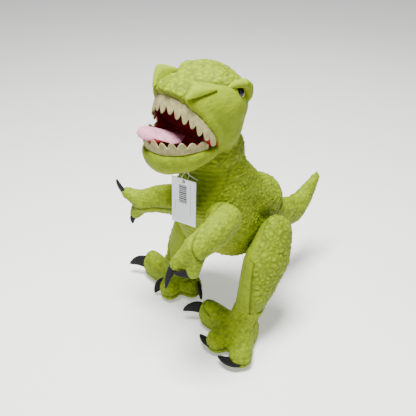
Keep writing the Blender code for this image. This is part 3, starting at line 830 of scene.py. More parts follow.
@dataclass
class SewnPart:
    """What every sub-assembly needs: the finishes, and the way a skin is made, dressed and hung on its bodies."""

    wardrobe: Wardrobe

    def skin(self, name: str, lattice: Lattice, values: Array, levels: int = 2, swell: float = 0) -> bpy.types.Object:
        """The closed surface of a field, evened, pressed out by its stuffing, and refined.

        Args:
            name: the piece's name.
            lattice: where the field was worked out.
            values: the field.
            levels: how often it is subdivided.
            swell: how far the stuffing may press it out, in millimetres; it starts smaller by half of that.
        Returns:
            The new skin.
        """
        made = facing_out(relaxed(mesh_object(name, *lattice.surface(values + swell / 2)), 2))
        if swell:
            plumped(made, swell)
        return subdivided(made, levels)

    def report(self, obj: bpy.types.Object) -> bpy.types.Object:
        """Hands back a finished piece as it is."""
        return obj


@dataclass
class Torso(SewnPart):
    """Neck, chest, belly and rump in one skin: smooth ribbed belly panel, scaly back panels."""

    chains: list = field(default_factory=lambda: [
        [(0, 16, 284, 46, 43, 28), (0, 4, 240, 56, 52, 38), (0, 18, 194, 59, 57, 50), (0, 48, 170, 54, 52, 52),
         (0, 78, 168, 48, 54, 50), (0, 114, 168, 40, 42, 44)],
        [(0, 22, 268, 48, 46, 30), (0, 58, 220, 50, 54, 34), (0, 94, 192, 47, 54, 43)],
    ])
    neck_radius: float = 43.0
    collar: float = 307.0
    belly_half_width: float = 40.0
    belly_back: float = 14.0
    rib: float = 6.2
    cell: float = 4.6

    def field(self, points: Array) -> Array:
        """The torso with the neck ball filleted into it."""
        neck = np.linalg.norm(points - np.array(NECK_PIVOT, np.float32), axis=1) - self.neck_radius
        return joined(strung(points, self.chains), neck, 10.0)

    def build(self) -> None:
        """Makes the skin; it follows the torso, and the neck above the collar."""
        lattice = Lattice.around(self.chains, self.cell)
        points = lattice.points()
        values = cut(self.field(points), self.collar - points[:, 2], 4.0)
        made = self.skin("torso_skin", lattice, values, swell=SWELL)
        places = points_of(made)
        x, y, z = places.T
        panel_edge = np.maximum(np.abs(x) - self.belly_half_width, y - self.belly_back)
        smooth = 1 - eased(panel_edge, -1.5, 1.5)
        ribs = np.sin(z * 2 * math.pi / self.rib + 1.4 * rolling(places, 16, 4)) * 0.42 * smooth
        spine = np.where(y > self.belly_back + 6, np.abs(x), 99.0)
        Emboss(scale=5.4, rise=1.5, wrinkle=1.5, seam_depth=0.7).apply(made, smooth, [panel_edge, spine], ribs)
        self.wardrobe.dress(made, self.wardrobe.plush)
        nodes = ("belly_panel", "back_panel_left", "back_panel_right", "torso_stuffing", "neck_panel", "neck_stuffing")
        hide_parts(*nodes)
        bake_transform(made, "torso", "neck", row_point((0, 8, 268)), row_point((0, 10, 298)))
        self.report(made)


@dataclass
class Head(SewnPart):
    """Skull, snout and cheeks with the crown panel, the brows, the nostril flaps and the eyes."""

    chains: list = field(default_factory=lambda: [
        [(0, -4, 381, 58, 52, 51), (0, -46, 398, 43, 32, 25)],
        [(0, -4, 381, 57, 52, 51), (0, -4, 350, 53, 42, 40)],
        [(0, -32, 352, 54, 25, 28), (0, -42, 372, 52, 28, 30), (0, -46, 396, 44, 31, 26)],
    ])
    nape: float = 292.0
    crown_line: float = 410.5
    crown_slope: float = 0.3
    eye: Point = (50.5, 6.5, 401.5)
    eye_radii: Point = (5.4, 5.4, 7.2)
    flap_bow: float = 5.0
    flap_wall: float = 0.003
    cell: float = 4.0

    def field(self, points: Array) -> Array:
        """The skull cut by the lip's plane and by the palate, with the neck ball filleted in."""
        skull = strung(points, self.chains, steps=8)
        lip = lip_frame(points)
        roof = LIP_DROP + UPPER_ARCH.height(lip[:, 0], -lip[:, 1]) + 1.0
        skull = cut(skull, lip[:, 2] - roof, 1.0)
        neck = np.linalg.norm(points - np.array(NECK_PIVOT, np.float32), axis=1) - Torso.neck_radius - 0.6
        return joined(skull, neck, 4.0)

    def build(self) -> None:
        """Makes the head's skin and the pieces sewn on it."""
        lattice = Lattice.around(self.chains, self.cell, margin=22)
        points = lattice.points()
        values = cut(self.field(points), points[:, 2] - self.nape, 4.0)
        made = self.skin("head_skin", lattice, values)
        places = points_of(made)
        x, y, z = places.T
        snout = np.maximum(np.abs(x) - 26, y + 40)
        crown_edge = np.minimum(self.crown_line - self.crown_slope * y - z, snout)
        smooth = eased(crown_edge, -1.5, 1.5) * eased(z, 318, 330)
        crown_seam = np.where(z > 370, crown_edge, 99.0)
        Emboss(scale=8.5, rise=1.2, wrinkle=0.75, seam_depth=1.2).apply(made, smooth, [crown_seam])
        self.wardrobe.dress(made, self.wardrobe.plush)
        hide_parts("crown_panel", "left_cheek_panel", "right_cheek_panel", "head_stuffing")
        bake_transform(made, "neck", "head", row_point((0, 10, 304)), row_point((0, 10, 332)))
        self.report(made)
        for side in Side:
            self.brow(side)
            self.nostril_flap(side)
            self.eye_dome(side)

    def roll(self, name: str, chain: list[Station], side: Side, cell: float = 1.5) -> bpy.types.Object:
        """A small stuffed roll sewn on the head.

        Args:
            name: the piece's name.
            chain: the roll's stations on the left side.
            side: the side that it goes on.
            cell: the spacing of its lattice.
        Returns:
            The dressed roll, riding on the head.
        """
        mirrored = [(side.value * s[0], *s[1:]) for s in chain]
        lattice = Lattice.around([mirrored], cell, margin=4)
        made = self.skin(name, lattice, strung(lattice.points(), [mirrored], steps=8), levels=1)
        smooth = np.ones(len(made.data.vertices))
        Emboss(scale=6, rise=0.4, wrinkle=0.5).apply(made, smooth, [])
        self.wardrobe.dress(made, self.wardrobe.plush)
        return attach(made, "head")

    def brow(self, side: Side) -> None:
        """The eyelid roll that curls over the eye, from the front to behind it."""
        chain = [(44, -6, 410, 4, 5, 3), (48, 3, 413, 6, 6, 5), (51, 13, 412, 7, 7, 6), (51, 21, 405, 6, 7, 7),
                 (50, 24, 395, 5, 5, 7), (48, 22, 386, 3, 3, 4)]
        made = self.roll(f"{side.label}_brow_roll", chain, side)
        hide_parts(f"{side.label}_brow")
        self.report(made)

    def nostril_flap(self, side: Side) -> None:
        """A folded leaf of plush, sewn on along a chord from a to b, its free edge standing off at the tip.

        With u from 0 to 1 along the chord and t from 0 to 1 away from it, the free edge is the chord moved towards
        the tip by one less |2u - 1| to the power 1.35, the leaf is ruled from the chord to that edge, and it bows
        outwards by a sine of t times a sine of u.
        """
        if side is Side.LEFT:
            a, b, tip, out = (22, -44, 420), (43, -27, 412), (35, -71, 408.5), (0.30, -0.35, 0.88)
        else:
            a, b, tip, out = (-22, -34, 424), (-25, -71, 409), (-38, -52, 429), (0.35, -0.3, 0.88)
        a, b, tip, out = (np.array(p, float) for p in (a, b, tip, out))
        u, t = np.meshgrid(np.linspace(0, 1, 33), np.linspace(0, 1, 19), indexing="ij")
        chord = a + (b - a) * u[..., None]
        reach = (1 - np.abs(2 * u - 1) ** 1.35) * t
        bow = self.flap_bow * np.sin(math.pi * t) * np.sin(math.pi * u)
        points = chord + (tip - (a + b) / 2) * reach[..., None] + out * bow[..., None]
        made = mesh_object(f"{side.label}_nostril_fold", points.reshape(-1, 3), grid_faces(33, 19))
        subdivided(walled(made, self.flap_wall), 1)
        Emboss(scale=6, rise=0.3, wrinkle=0.35).apply(made, np.ones(len(made.data.vertices)), [])
        self.wardrobe.dress(made, self.wardrobe.plush)
        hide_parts(f"{side.label}_nostril_flap")
        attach(made, "head")
        self.report(made)

    def eye_dome(self, side: Side) -> None:
        """A glossy upright oval, from a sphere's two angles, with amber along its lower rear rim."""
        centre = np.array((side.value * self.eye[0], self.eye[1], self.eye[2]), float)
        polar, turn = np.meshgrid(np.linspace(0.02, math.pi - 0.02, 28), np.linspace(0, 2 * math.pi, 48, False),
                                  indexing="ij")
        unit = np.stack([np.sin(polar) * np.cos(turn), np.sin(polar) * np.sin(turn), np.cos(polar)], axis=-1)
        made = closed_tube(f"{side.label}_eye_dome", centre + unit[::-1] * np.array(self.eye_radii))
        places = (points_of(made) - centre) / np.array(self.eye_radii)
        amber = 0.72 * places[:, 1] - 0.62 * places[:, 2]
        set_values(made, "rim", eased(amber, 0.24, 0.30))
        self.wardrobe.dress(made, self.wardrobe.eye)
        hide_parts(f"{side.label}_eye")
        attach(made, "head")
        self.report(made)


@dataclass
class Mouth(SewnPart):
    """The chin, both linings, both rows of teeth and the tongue."""

    chin: list = field(default_factory=lambda: [
        [(0, -34, 333, 49, 23, 25), (0, -58, 329, 46, 25, 28), (0, -79, 329, 34, 23, 26)],
    ])
    hinge_share: float = 0.45
    corner_depth: float = 36.0
    blend_reach: float = 15.0
    lining_wall: float = 0.0014
    web_wall: float = 0.0012
    tooth_wall: float = 0.0021
    web_cut: tuple[float, float] = (0.156, 0.036)
    web_area: float = 0.0020
    cell: float = 3.6

    def build(self) -> None:
        """Makes every piece of the mouth."""
        self.chin_skin()
        self.lining("palate_felt", UPPER_ARCH, "palate_lining", "head")
        self.lining("jaw_felt", LOWER_ARCH, "jaw_lining", "jaw")
        self.throat()
        self.teeth("upper_tooth_band", UPPER_ARCH, 13, 10.5, (0, -0.25, -0.97), 5.0, "upper_teeth", "head", 14, 0.93)
        self.teeth("lower_tooth_band", LOWER_ARCH, 10, 9, (0, -0.12, 0.99), -1.5, "lower_teeth", "jaw", 12, 0.95)
        self.tongue()

    def chin_skin(self) -> None:
        """The smooth chin panel, dished inside the lower teeth; it bends with the jaw at the cheeks."""
        lattice = Lattice.around(self.chin, self.cell)
        points = lattice.points()
        across, forward = points[:, 0], JAW_PIVOT[1] - points[:, 1]
        floor = JAW_TOP - LOWER_ARCH.height(across, forward) - 1.0
        values = cut(strung(points, self.chin, steps=8), floor - points[:, 2], 1.0)
        made = self.skin("chin_skin", lattice, values)
        Emboss(scale=8, rise=0.5, wrinkle=0.9).apply(made, np.full(len(made.data.vertices), 0.85), [])
        self.wardrobe.dress(made, self.wardrobe.plush)
        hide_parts("chin_panel", "jaw_stuffing")
        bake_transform(made, "head", "jaw", row_point((0, -22, 336)), row_point((0, -52, 334)))
        self.report(made)

    def lining(self, name: str, arch: MouthArch, node: str, body: str) -> None:
        """Red felt inside a row of teeth: every ray from the hinge's middle out to the U, raised by the arch's dome.

        Args:
            name: the piece's name.
            arch: the U that it fills.
            node: the frame's lining that it stands for.
            body: the head or the jaw.
        """
        along, share = np.meshgrid(np.linspace(-1, 1, 81), np.linspace(0.004, 0.965, 33), indexing="ij")
        across, forward = arch.outline(along)
        across, forward = across * share, forward * share
        height = arch.height(across, forward)
        ripple = 0.35 * np.sin(forward * 0.55) * (1 - share)
        if body == "head":
            points = from_lip_frame(np.stack([across, -forward, LIP_DROP + height + ripple], axis=-1))
        else:
            points = np.stack([across, JAW_PIVOT[1] - forward, JAW_TOP - height + ripple], axis=-1)
        made = mesh_object(name, points.reshape(-1, 3), grid_faces(81, 33))
        walled(made, self.lining_wall)
        set_values(made, "crease", np.zeros(len(made.data.vertices)))
        self.wardrobe.dress(made, self.wardrobe.mouth)
        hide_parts(node)
        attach(made, body)
        self.report(made)

    def throat(self) -> None:
        """The red web that joins both linings behind the teeth and fills the corners of the mouth.

        The web turns about the jaw's pivot as w goes from 0 at the jaw to 1 at the palate. Along it a runs from
        the left corner's free edge, along the hinge, to the right corner's; a corner reaches forward by its depth
        times one less half a sine of w, so its free edge is hollow.
        """
        a, w = np.meshgrid(np.linspace(-1, 1, 121), np.linspace(0, 1, 25), indexing="ij")
        side = np.clip((np.abs(a) - self.hinge_share) / (1 - self.hinge_share), 0, 1)
        width = 0.985 * (LOWER_ARCH.half_width + (UPPER_ARCH.half_width - LOWER_ARCH.half_width) * w)
        forward = self.corner_depth * side * (1 - 0.5 * np.sin(math.pi * w)) - 2.0 * (1 - side)
        narrowing = 1 - 0.5 * (np.clip(forward, 0, None) / UPPER_ARCH.reach) ** 2
        inward = 3.0 * np.sin(math.pi * w) * np.minimum(side * 3, 1)
        x = np.sign(a) * (width * np.clip(np.abs(a) / self.hinge_share, 0, 1) * narrowing - inward)
        height = (JAW_TOP - JAW_PIVOT[2]) * (1 - w) + LIP_DROP * w
        angle = w * LIP_SLOPE
        y = JAW_PIVOT[1] - np.cos(angle) * forward + np.sin(angle) * height
        z = JAW_PIVOT[2] + np.sin(angle) * forward + np.cos(angle) * height
        made = mesh_object("throat_felt", np.stack([x, y, z], axis=-1).reshape(-1, 3), grid_faces(121, 25))
        walled(made, self.web_wall)
        set_values(made, "crease", np.zeros(len(made.data.vertices)))
        self.wardrobe.dress(made, self.wardrobe.mouth)
        half = LIP_SLOPE / 2
        across = np.array((0, -math.sin(half), -math.cos(half))) * self.blend_reach
        pivot = np.array(JAW_PIVOT)
        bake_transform(made, "head", "jaw", row_point(tuple(pivot - across)), row_point(tuple(pivot + across)))
        self.report(made)

    def teeth(self, name: str, arch: MouthArch, band: float, tooth: float, hang: Point, start: float, node: str,
              body: str, count: int, extent: float) -> None:
        """A felt band with rounded points along its free edge.

        Along the U the free edge drops by band plus tooth times a rounded scallop, the power 0.9 of a sine that
        has one hump for each tooth; both fade towards the corners by one less 0.42 of the distance cubed. Each
        tooth is puffed a little in its middle.

        Args:
            name: the piece's name.
            arch: the U that it follows.
            band: the height of the strip that the points grow from.
            tooth: the height of a point.
            hang: the direction of the points.
            start: where the strip's sewn edge lies above the U's plane.
            node: the frame's teeth that it stands for.
            body: the head or the jaw.
            count: how many points.
            extent: how far along the U the strip goes, of 1.
        """
        columns, rows = count * 14 + 1, 15
        along, across = np.meshgrid(np.linspace(-1, 1, columns), np.linspace(0, 1, rows), indexing="ij")
        x, forward = arch.outline(along * extent)
        taper = 1 - 0.42 * np.abs(along) ** 3
        phase = count * (along + 1) / 2
        scallop = np.abs(np.sin(math.pi * phase)) ** 0.9
        uneven = 1 + 0.10 * np.sin(np.floor(phase) * 2.4)
        drop = across * (band + tooth * scallop * uneven) * taper
        if body == "head":
            base = from_lip_frame(np.stack([x, -forward, np.full_like(x, start)], axis=-1))
        else:
            base = np.stack([x, JAW_PIVOT[1] - forward, np.full_like(x, JAW_TOP + start)], axis=-1)
        direction = np.array(hang) / np.linalg.norm(hang)
        points = base + direction * drop[..., None]
        tangent = np.gradient(base, axis=0)
        outward = np.cross(tangent, direction)
        outward /= np.linalg.norm(outward, axis=-1, keepdims=True) + 1e-9
        outward *= np.sign((outward * (base - base.mean((0, 1)))).sum())
        puff = 1.1 * scallop * np.sin(np.pi * np.clip(across, 0, 1)) + 1.4 * across**2
        points = points + outward * puff[..., None]
        made = mesh_object(name, points.reshape(-1, 3), grid_faces(columns, rows))
        walled(made, self.tooth_wall)
        subdivided(made, 1)
        set_values(made, "crease", np.zeros(len(made.data.vertices)))
        self.wardrobe.dress(made, self.wardrobe.tooth)
        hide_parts(node)
        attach(made, body)
        self.report(made)

    def tongue(self) -> None:
        """A flat stuffed felt tongue, pointed at the back and curled down over the front teeth.

        Its rings are flattened ovals along a path; the half width is a table eased between its stations.
        """
        t = np.linspace(0, 1, 61)
        knots = np.array((0.0, 0.25, 0.5, 0.75, 0.9, 1.0))
        path = np.array(((0, -42, 342), (0, -58, 347), (-2, -76, 354), (-5, -91, 361.5), (-8, -101, 363),
                         (-9, -107, 354)), float)
        centre = np.stack([np.interp(t, knots, column) for column in path.T], axis=1)
        kernel = np.ones(9) / 9
        padded = np.concatenate([np.repeat(centre[:1], 4, 0), centre, np.repeat(centre[-1:], 4, 0)])
        centre = np.stack([np.convolve(column, kernel, "valid") for column in padded.T], axis=1)
        half = np.interp(t, (0, 0.1, 0.3, 0.5, 0.7, 0.85, 0.95, 1), (0.5, 5, 15, 20, 18.5, 15.5, 12, 5))
        thick = 2.2 * np.sqrt(np.clip(half / 17, 0.02, 1))
        turn = np.linspace(0, 2 * math.pi, 40, endpoint=False)
        forward = np.gradient(centre, axis=0)
        forward /= np.linalg.norm(forward, axis=1, keepdims=True)
        up = np.cross(np.array((1.0, 0, 0)), forward)
        up *= np.sign(up[:, 2:3] + 1e-9)
        ring_x = np.sign(np.cos(turn)) * np.abs(np.cos(turn)) ** 0.8
        ring_z = np.sign(np.sin(turn)) * np.abs(np.sin(turn)) ** 0.6
        cupped = -0.10 * half[:, None] * ring_x[None] ** 2 - 0.22 * half[:, None] * ring_x[None]
        rings = centre[:, None] + np.array((1.0, 0, 0)) * (half[:, None] * ring_x)[..., None]
        rings = rings + up[:, None] * (thick[:, None] * ring_z + cupped)[..., None]
        made = closed_tube("tongue_felt", rings)
        places = points_of(made)
        # Painted shade along a crease line down the front of the tongue, where the shape has no groove.
        set_values(made, "crease", 0.35 * np.exp(-np.square((places[:, 0] + 1.5) / 0.8)) * (places[:, 1] < -60))
        self.wardrobe.dress(made, self.wardrobe.tongue)
        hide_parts("tongue")
        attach(made, "tongue")
        self.report(made)


@dataclass
class Claw(SewnPart):
    """One felt crescent.

    Along it runs t from the root to the tip, across it s. The half width is width/2 times (1 - t) to the power
    0.65, the middle line bows by 2 sag t (1 - t), and each ring is a flattened oval, thinner towards the tip by the
    root of one less t cubed.
    """

    name: str = ""
    body: str = ""
    root: Point = (0, 0, 0)
    tip: Point = (0, 0, 0)
    bulge: Point = (0, 0, 0)
    width: float = 20.0
    thickness: float = 6.5

    def build(self) -> None:
        """Makes the claw."""
        root, tip, bulge = (np.array(p, float) for p in (self.root, self.tip, self.bulge))
        length = np.linalg.norm(tip - root)
        forward = (tip - root) / length
        normal = np.cross(forward, bulge)
        normal /= np.linalg.norm(normal)
        side = np.cross(normal, forward)
        sag = bulge @ side
        t = np.linspace(-0.22, 1.0, 31)
        turn = np.linspace(0, 2 * math.pi, 32, endpoint=False)
        taken = np.clip(t, 0, 1)
        half = self.width / 2 * (1 - taken) ** 0.65 + 0.2
        middle = 2 * sag * t * (1 - t)
        ring_s = np.sign(np.cos(turn)) * np.abs(np.cos(turn)) ** 0.85
        ring_n = np.sign(np.sin(turn)) * np.abs(np.sin(turn)) ** 0.5
        thick = self.thickness / 2 * (0.3 + 0.7 * np.sqrt(1 - taken**3))
        rings = root + forward * (length * t)[:, None, None]
        rings = rings + side * (middle[:, None] + half[:, None] * ring_s)[..., None]
        rings = rings + normal * (thick[:, None] * ring_n)[..., None]
        made = closed_tube(f"{self.name}_felt", rings)
        set_values(made, "crease", np.zeros(len(made.data.vertices)))
        self.wardrobe.dress(made, self.wardrobe.claw)
        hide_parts(self.name)
        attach(made, self.body)
        self.report(made)


@dataclass
class Arm(SewnPart):
    """A sewn arm with two fingers and a felt claw on each."""

    side: Side = Side.LEFT
    shoulder: Point = (62, -28, 234)
    upper: Point = (74, -58, 235)
    wrist: Point = (66, -88, 220)
    fingers: tuple = ((50, -108, 198), (71, -98, 190))
    seam_normal: Point = (0.9, 0.1, 0.42)
    claws: tuple = (((49, -111, 195), (44, -123, 161), (-4, -2, 0)), ((70, -101, 189), (54, -118, 191), (0, 0, -4)))
    claw_width: float = 13.0
    claw_thickness: float = 5.0
    cell: float = 3.4

    def build(self) -> None:
        """Makes the arm's skin and its claws."""
        label = self.side.label
        inside = np.array(self.shoulder) * (0.8, 1, 1)
        limb = [(*inside, 18, 20, 21), (*self.shoulder, 20, 22, 23), (*self.upper, 19, 21, 21),
                (*self.wrist, 17, 18, 18)]
        hand = [[(*self.wrist, 14, 14, 14), (*finger, 9.6, 9.6, 9.6)] for finger in self.fingers]
        lattice = Lattice.around([limb, *hand], self.cell, margin=8)
        points = lattice.points()
        values = strung(points, [limb])
        for finger in hand:
            values = joined(values, strung(points, [finger]), 5.0)
        made = self.skin(f"{label}_arm_skin", lattice, values)
        normal = np.array(self.seam_normal) / np.linalg.norm(self.seam_normal)
        distance = (points_of(made) - np.array(self.shoulder)) @ normal
        away = np.linalg.norm(points_of(made) - np.array(self.shoulder), axis=1)
        smooth = np.full(len(distance), 0.35)
        Emboss(scale=7.0, rise=0.9, wrinkle=0.9).apply(made, smooth, [np.where(away > 20, distance, 99.0)])
        self.wardrobe.dress(made, self.wardrobe.plush)
        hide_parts(f"{label}_arm_outer_panel", f"{label}_arm_inner_panel", f"{label}_arm_stuffing")
        start = np.array(self.shoulder) - (np.array(self.upper) - np.array(self.shoulder)) * 0.3
        end = np.array(self.shoulder) + (np.array(self.upper) - np.array(self.shoulder)) * 0.9
        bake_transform(made, "torso", f"{label}_arm", row_point(tuple(start)), row_point(tuple(end)))
        self.report(made)
        for number, (root, tip, bulge) in enumerate(self.claws, 1):
            Claw(self.wardrobe, f"{label}_hand_claw_{number}", f"{label}_arm", root, tip, bulge,
                 self.claw_width, self.claw_thickness).build()


@dataclass
class Leg(SewnPart):
    """A thick tapered leg and its foot, with three toes, three felt claws, and seams round the sole and the ankle."""

    side: Side = Side.LEFT
    hip: Point = (70, 68, 164)
    thigh: Point = (72, 50, 132)
    shin: Point = (72, 30, 92)
    ankle: Point = (67, 14, 52)
    toes: tuple = ((100, -32, 17), (54, -34, 18), (6, -2, 23))
    claws: tuple = (((102, -41, 13), (73, -53, 13), (0, -8, 0), 22), ((51, -42, 17), (24, -42, 17), (0, -5, 0), 19),
                    ((-8, -5, 28), (-34, -23, 19), (0, 0, 9), 25))
    seam_height: float = 14.0
    cuff: float = 62.0
    cuff_seam: float = 50.0
    cell: float = 4.4
    foot_cell: float = 3.8

    def leg_chain(self) -> list[Station]:
        """The limb's stations from the hip to the ankle."""
        return [(*self.hip, 24, 34, 38), (*self.thigh, 29, 46, 42), (*self.shin, 26, 32, 31), (*self.ankle, 20, 21, 20)]

    def foot_chains(self) -> list[list[Station]]:
        """The heel, the arch and the three toes."""
        x, y, _ = self.ankle
        heel, arch = (x - 3, y + 4, 16, 21, 21, 33), (x, y - 10, 17, 25, 23, 34)
        chains = [[heel, arch]]
        for toe in self.toes:
            middle = (np.array(arch[:3]) + np.array(toe)) / 2
            chains.append([(*arch[:3], 20, 20, 33), (*middle, 19, 19, 25), (*toe, 17, 17, toe[2] + 3)])
        return chains

    def field(self, points: Array) -> Array:
        """Leg and foot in one, filleted at the ankle and between the toes."""
        foot = strung(points, self.foot_chains()[:1])
        for toe in self.foot_chains()[1:]:
            foot = joined(foot, strung(points, [toe]), 4.0)
        return joined(strung(points, [self.leg_chain()]), foot, 12.0)

    def build(self) -> None:
        """Makes the leg's skin, the foot's skin and the claws."""
        label = self.side.label
        lattice = Lattice.around([self.leg_chain()], self.cell)
        points = lattice.points()
        values = cut(self.field(points), points[:, 2] - self.cuff + 5, 3.0)
        made = self.skin(f"{label}_leg_skin", lattice, values, swell=SWELL)
        places = points_of(made)
        normal = np.array((self.side.value * 0.93, 0.37, 0))
        middle = (np.array(self.hip) + np.array(self.ankle)) / 2
        distance = (places - middle) @ normal
        smooth = 1 - eased(distance, -1.5, 1.5)
        near_hip = eased(places[:, 2], 150, 165)
        Emboss(scale=8.5, rise=1.3, wrinkle=0.9).apply(made, smooth * 0.85, [distance + 99 * near_hip])
        self.wardrobe.dress(made, self.wardrobe.plush)
        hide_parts(f"{label}_leg_outer_panel", f"{label}_leg_inner_panel", f"{label}_leg_stuffing")
        inner = tuple(np.array(self.hip) * (0.7, 1, 1))
        outer = tuple(np.array(self.hip) + (0, -6, -34))
        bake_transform(made, "torso", f"{label}_leg", row_point(inner), row_point(outer))
        self.report(made)
        self.foot(label)
        for number, (root, tip, bulge, width) in enumerate(self.claws, 1):
            Claw(self.wardrobe, f"{label}_foot_claw_{number}", f"{label}_foot", root, tip, bulge, width).build()

    def foot(self, label: str) -> None:
        """The foot's skin, flat on the floor and a hair outside the leg's where they overlap at the ankle.

        Args:
            label: the side's word.
        """
        lattice = Lattice.around(self.foot_chains(), self.foot_cell, top=self.cuff + 14)
        points = lattice.points()
        overlap = 0.5 * eased(points[:, 2], 46, 58)
        values = cut(self.field(points) - overlap, self.cuff + 2 - points[:, 2], 2.0)
        values = cut(values, points[:, 2] - 0.4, 4.0)
        made = self.skin(f"{label}_foot_skin", lattice, values)
        places = points_of(made)
        sole_seam = np.where(places[:, 2] < 30, places[:, 2] - self.seam_height, 99.0)
        smooth = 0.3 + 0.6 * (1 - eased(places[:, 2], 8, 16))
        slope = np.array((0.35 * self.side.value, -0.35, 0.87))
        cuff_seam = (places - np.array((*self.ankle[:2], self.cuff_seam))) @ slope
        off_ankle = np.hypot(*(places - np.array(self.ankle)).T[:2])
        cuff_seam = np.where(places[:, 2] > 34, cuff_seam, 99.0) + 20 * eased(off_ankle, 20, 30)
        Emboss(scale=7.5, rise=0.9, wrinkle=0.8).apply(made, smooth, [sole_seam, cuff_seam])
        places = points_of(made)
        places[:, 2] = np.maximum(places[:, 2], 0.0)
        move_points(made, places)
        self.wardrobe.dress(made, self.wardrobe.plush)
        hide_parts(f"{label}_foot_top_panel", f"{label}_foot_sole_panel", f"{label}_foot_stuffing")
        x, y, z = self.ankle
        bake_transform(made, f"{label}_leg", f"{label}_foot", row_point((x, y, z + 6)), row_point((x, y, z - 16)))
        self.report(made)


@dataclass
class Tail(SewnPart):
    """The tail, with a raised ridge seam along its top."""

    chain: list = field(default_factory=lambda: [
        (0, 108, 164, 30, 28, 32), (0, 124, 158, 27, 28, 29), (0, 160, 136, 26, 27, 29), (0, 200, 126, 21, 22, 23),
        (0, 228, 136, 15, 16, 18), (0, 250, 154, 10, 11, 13), (0, 264, 168, 6, 6, 8),
    ])
    cell: float = 4.0

    def build(self) -> None:
        """Makes the tail's skin."""
        lattice = Lattice.around([self.chain], self.cell, margin=8)
        made = self.skin("tail_skin", lattice, strung(lattice.points(), [self.chain], steps=8))
        places, normals = points_of(made), normals_of(made)
        top = eased(normals[:, 2] - 0.8 * normals[:, 1], 0.0, 0.5)
        ridge = 1.3 * np.exp(-np.square(places[:, 0] / 1.5)) * top
        Emboss(scale=7.5, rise=1.0, wrinkle=0.8).apply(
            made, np.full(len(places), 0.15), [np.where(top > 0.02, 99.0, places[:, 0])], ridge)
        self.wardrobe.dress(made, self.wardrobe.plush)
        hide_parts("tail_left_panel", "tail_right_panel", "tail_stuffing")
        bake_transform(made, "torso", "tail", row_point((0, 118, 160)), row_point((0, 168, 134)))
        self.report(made)


@dataclass
class HangTag(SewnPart):
    """The paper tag that hangs from the plastic loop."""

    pivot: Point = (12, -57, 285)
    size: tuple[float, float] = (38.0, 68.0)
    thickness: float = 0.8
    headroom: float = 4.0
    turn: float = math.radians(14)
    hole: float = 1.9

    def build(self) -> None:
        """Makes a slightly bowed card with a punched hole.

        The card is a grid of u across and v up; rows near the hole are pulled out to its rim, and the card bows
        by a parabola of v.
        """
        width, length = self.size
        u, v = np.meshgrid(np.linspace(0, 1, 39), np.linspace(0, 1, 69), indexing="ij")
        x = (u - 0.5) * width
        z = self.headroom - length + v * length
        radius = np.hypot(x, z)
        push = np.where(radius < 2 * self.hole, (self.hole + radius / 2) / np.maximum(radius, 1e-3), 1)
        x, z = x * push, z * push
        bow = 2.2 * np.square(1 - v) + 0.6 * np.square(2 * u - 1) * (1 - v)
        c, s = math.cos(self.turn), math.sin(self.turn)
        points = np.stack([c * x + s * bow, s * x - c * bow, z], axis=-1) + np.array(self.pivot)
        faces = grid_faces(39, 69)
        centre = np.stack([x, z], -1).reshape(-1, 2)[faces].mean(1)
        faces = faces[np.hypot(*centre.T) > self.hole * 1.02]
        made = mesh_object("tag_card", points.reshape(-1, 3), faces)
        set_values(made, "card_u", u.ravel())
        set_values(made, "card_v", v.ravel())
        walled(made, self.thickness / 1000)
        self.wardrobe.dress(made, self.wardrobe.card)
        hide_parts("hang_tag")
        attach(made, "hang_tag")
        self.report(made)


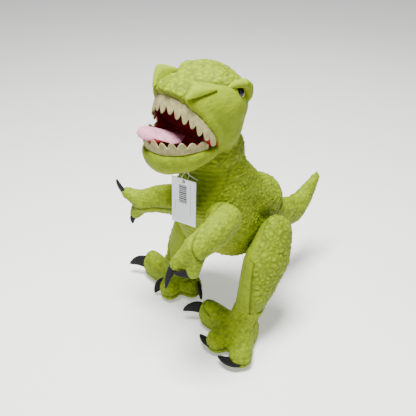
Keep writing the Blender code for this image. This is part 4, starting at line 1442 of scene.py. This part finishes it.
@dataclass
class Studio:
    """A pale floor, soft lights and the camera, in front of the dinosaur's left side and above it."""

    azimuth: float = math.radians(45)
    elevation: float = math.radians(31)
    distance: float = 0.92
    target: Point = (0.0, 0.0, 215.0)
    lens: float = 55.4
    sky: float = 0.2

    def build(self) -> None:
        """Places the camera, the lights, the floor and the world."""
        scene = bpy.context.scene
        target = row_point(self.target)
        level = math.cos(self.elevation)
        away = Vector((math.sin(self.azimuth) * level, -math.cos(self.azimuth) * level, math.sin(self.elevation)))
        camera = bpy.data.objects.new("camera", bpy.data.cameras.new("camera"))
        camera.data.lens = self.lens
        camera.data.sensor_width = 36.0
        camera.location = target + away * self.distance
        camera.rotation_euler = (-away).to_track_quat("-Z", "Y").to_euler()
        scene.collection.objects.link(camera)
        scene.camera = camera
        self.light("key", (0.10, -0.25, 1.6), target, 0.55, 84.0)
        self.light("fill", (1.4, -0.9, 0.8), target, 1.2, 4.0)
        self.light("back", (-0.7, 1.0, 1.0), target, 1.0, 4.0)
        self.floor()
        world = bpy.data.worlds.new("studio")
        world.use_nodes = True
        background = world.node_tree.nodes["Background"]
        background.inputs["Color"].default_value = (1.0, 1.0, 1.0, 1.0)
        background.inputs["Strength"].default_value = self.sky
        scene.world = world

    def light(self, name: str, place: Point, target: Vector, size: float, power: float) -> None:
        """One soft square light aimed at the target.

        Args:
            name: the light's name.
            place: where it is, in metres from the point of the floor under the target.
            target: what it is aimed at.
            size: its side, in metres.
            power: its power, in watts.
        """
        data = bpy.data.lights.new(name, "AREA")
        data.size = size
        data.energy = power
        lamp = bpy.data.objects.new(name, data)
        lamp.location = Vector(place) + Vector((target.x, target.y, 0))
        lamp.rotation_euler = (target - lamp.location).to_track_quat("-Z", "Y").to_euler()
        bpy.context.scene.collection.objects.link(lamp)

    def floor(self) -> None:
        """A wide pale floor with a faint mottle and a faint glow of its own."""
        x, y = np.meshgrid(np.linspace(-3000, 3000, 13), np.linspace(-3000, 3000, 13), indexing="ij")
        points = np.stack([x, y, np.full_like(x, -0.6)], axis=-1).reshape(-1, 3)
        made = mesh_object("floor", points, grid_faces(13, 13)[:, ::-1])
        s = Shader("floor")
        mottle = s.noise(s.place(), 0.08, 3)
        s.set("Base Color", s.mixed(mottle, linear(240, 239, 236), linear(247, 246, 244)))
        s.set("Roughness", 0.75)
        s.set("Emission Color", (1.0, 1.0, 1.0, 1.0))
        s.set("Emission Strength", 0.35)
        made.data.materials.append(s.material)


def nodes_dressed(wardrobe: Wardrobe) -> None:
    """Finishes for the frame's own pieces that stay in view or inside the head."""
    for node in ("tag_fastener", "left_eye_washer", "right_eye_washer"):
        wardrobe.dress(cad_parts[node], wardrobe.nylon)
        log.info("%s: the frame's own mesh with %s", node, wardrobe.nylon.slot)


def main() -> None:
    """Builds the dinosaur piece by piece."""
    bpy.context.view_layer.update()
    wardrobe = Wardrobe()
    Studio().build()
    Torso(wardrobe).build()
    Head(wardrobe).build()
    Mouth(wardrobe).build()
    Arm(wardrobe).build()
    Arm(wardrobe, Side.RIGHT, (-54, -20, 216), (-76, -26, 210), (-96, -38, 203), ((-117, -53, 214), (-112, -44, 178)),
        (-0.2, -0.3, 0.93), (((-122, -57, 217), (-130, -62, 236), (-5, 0, 0)),
                             ((-114, -47, 172), (-114, -50, 160), (-4, 0, 0)))).build()
    Leg(wardrobe).build()
    Leg(wardrobe, Side.RIGHT, (-68, 64, 164), (-76, 50, 132), (-94, 40, 92), (-108, 34, 52),
        ((-158, 22, 24), (-90, 0, 19), (-68, 30, 20)),
        (((-164, 14, 27), (-193, -3, 20), (0, 0, 10), 28), ((-97, 2, 25), (-114, -14, 5), (-9, -7, 4), 27),
         ((-57, 34, 27), (-42, 26, 8), (8, -5, 6), 23))).build()
    Tail(wardrobe).build()
    HangTag(wardrobe).build()
    nodes_dressed(wardrobe)


if __name__ == "__main__":
    main()
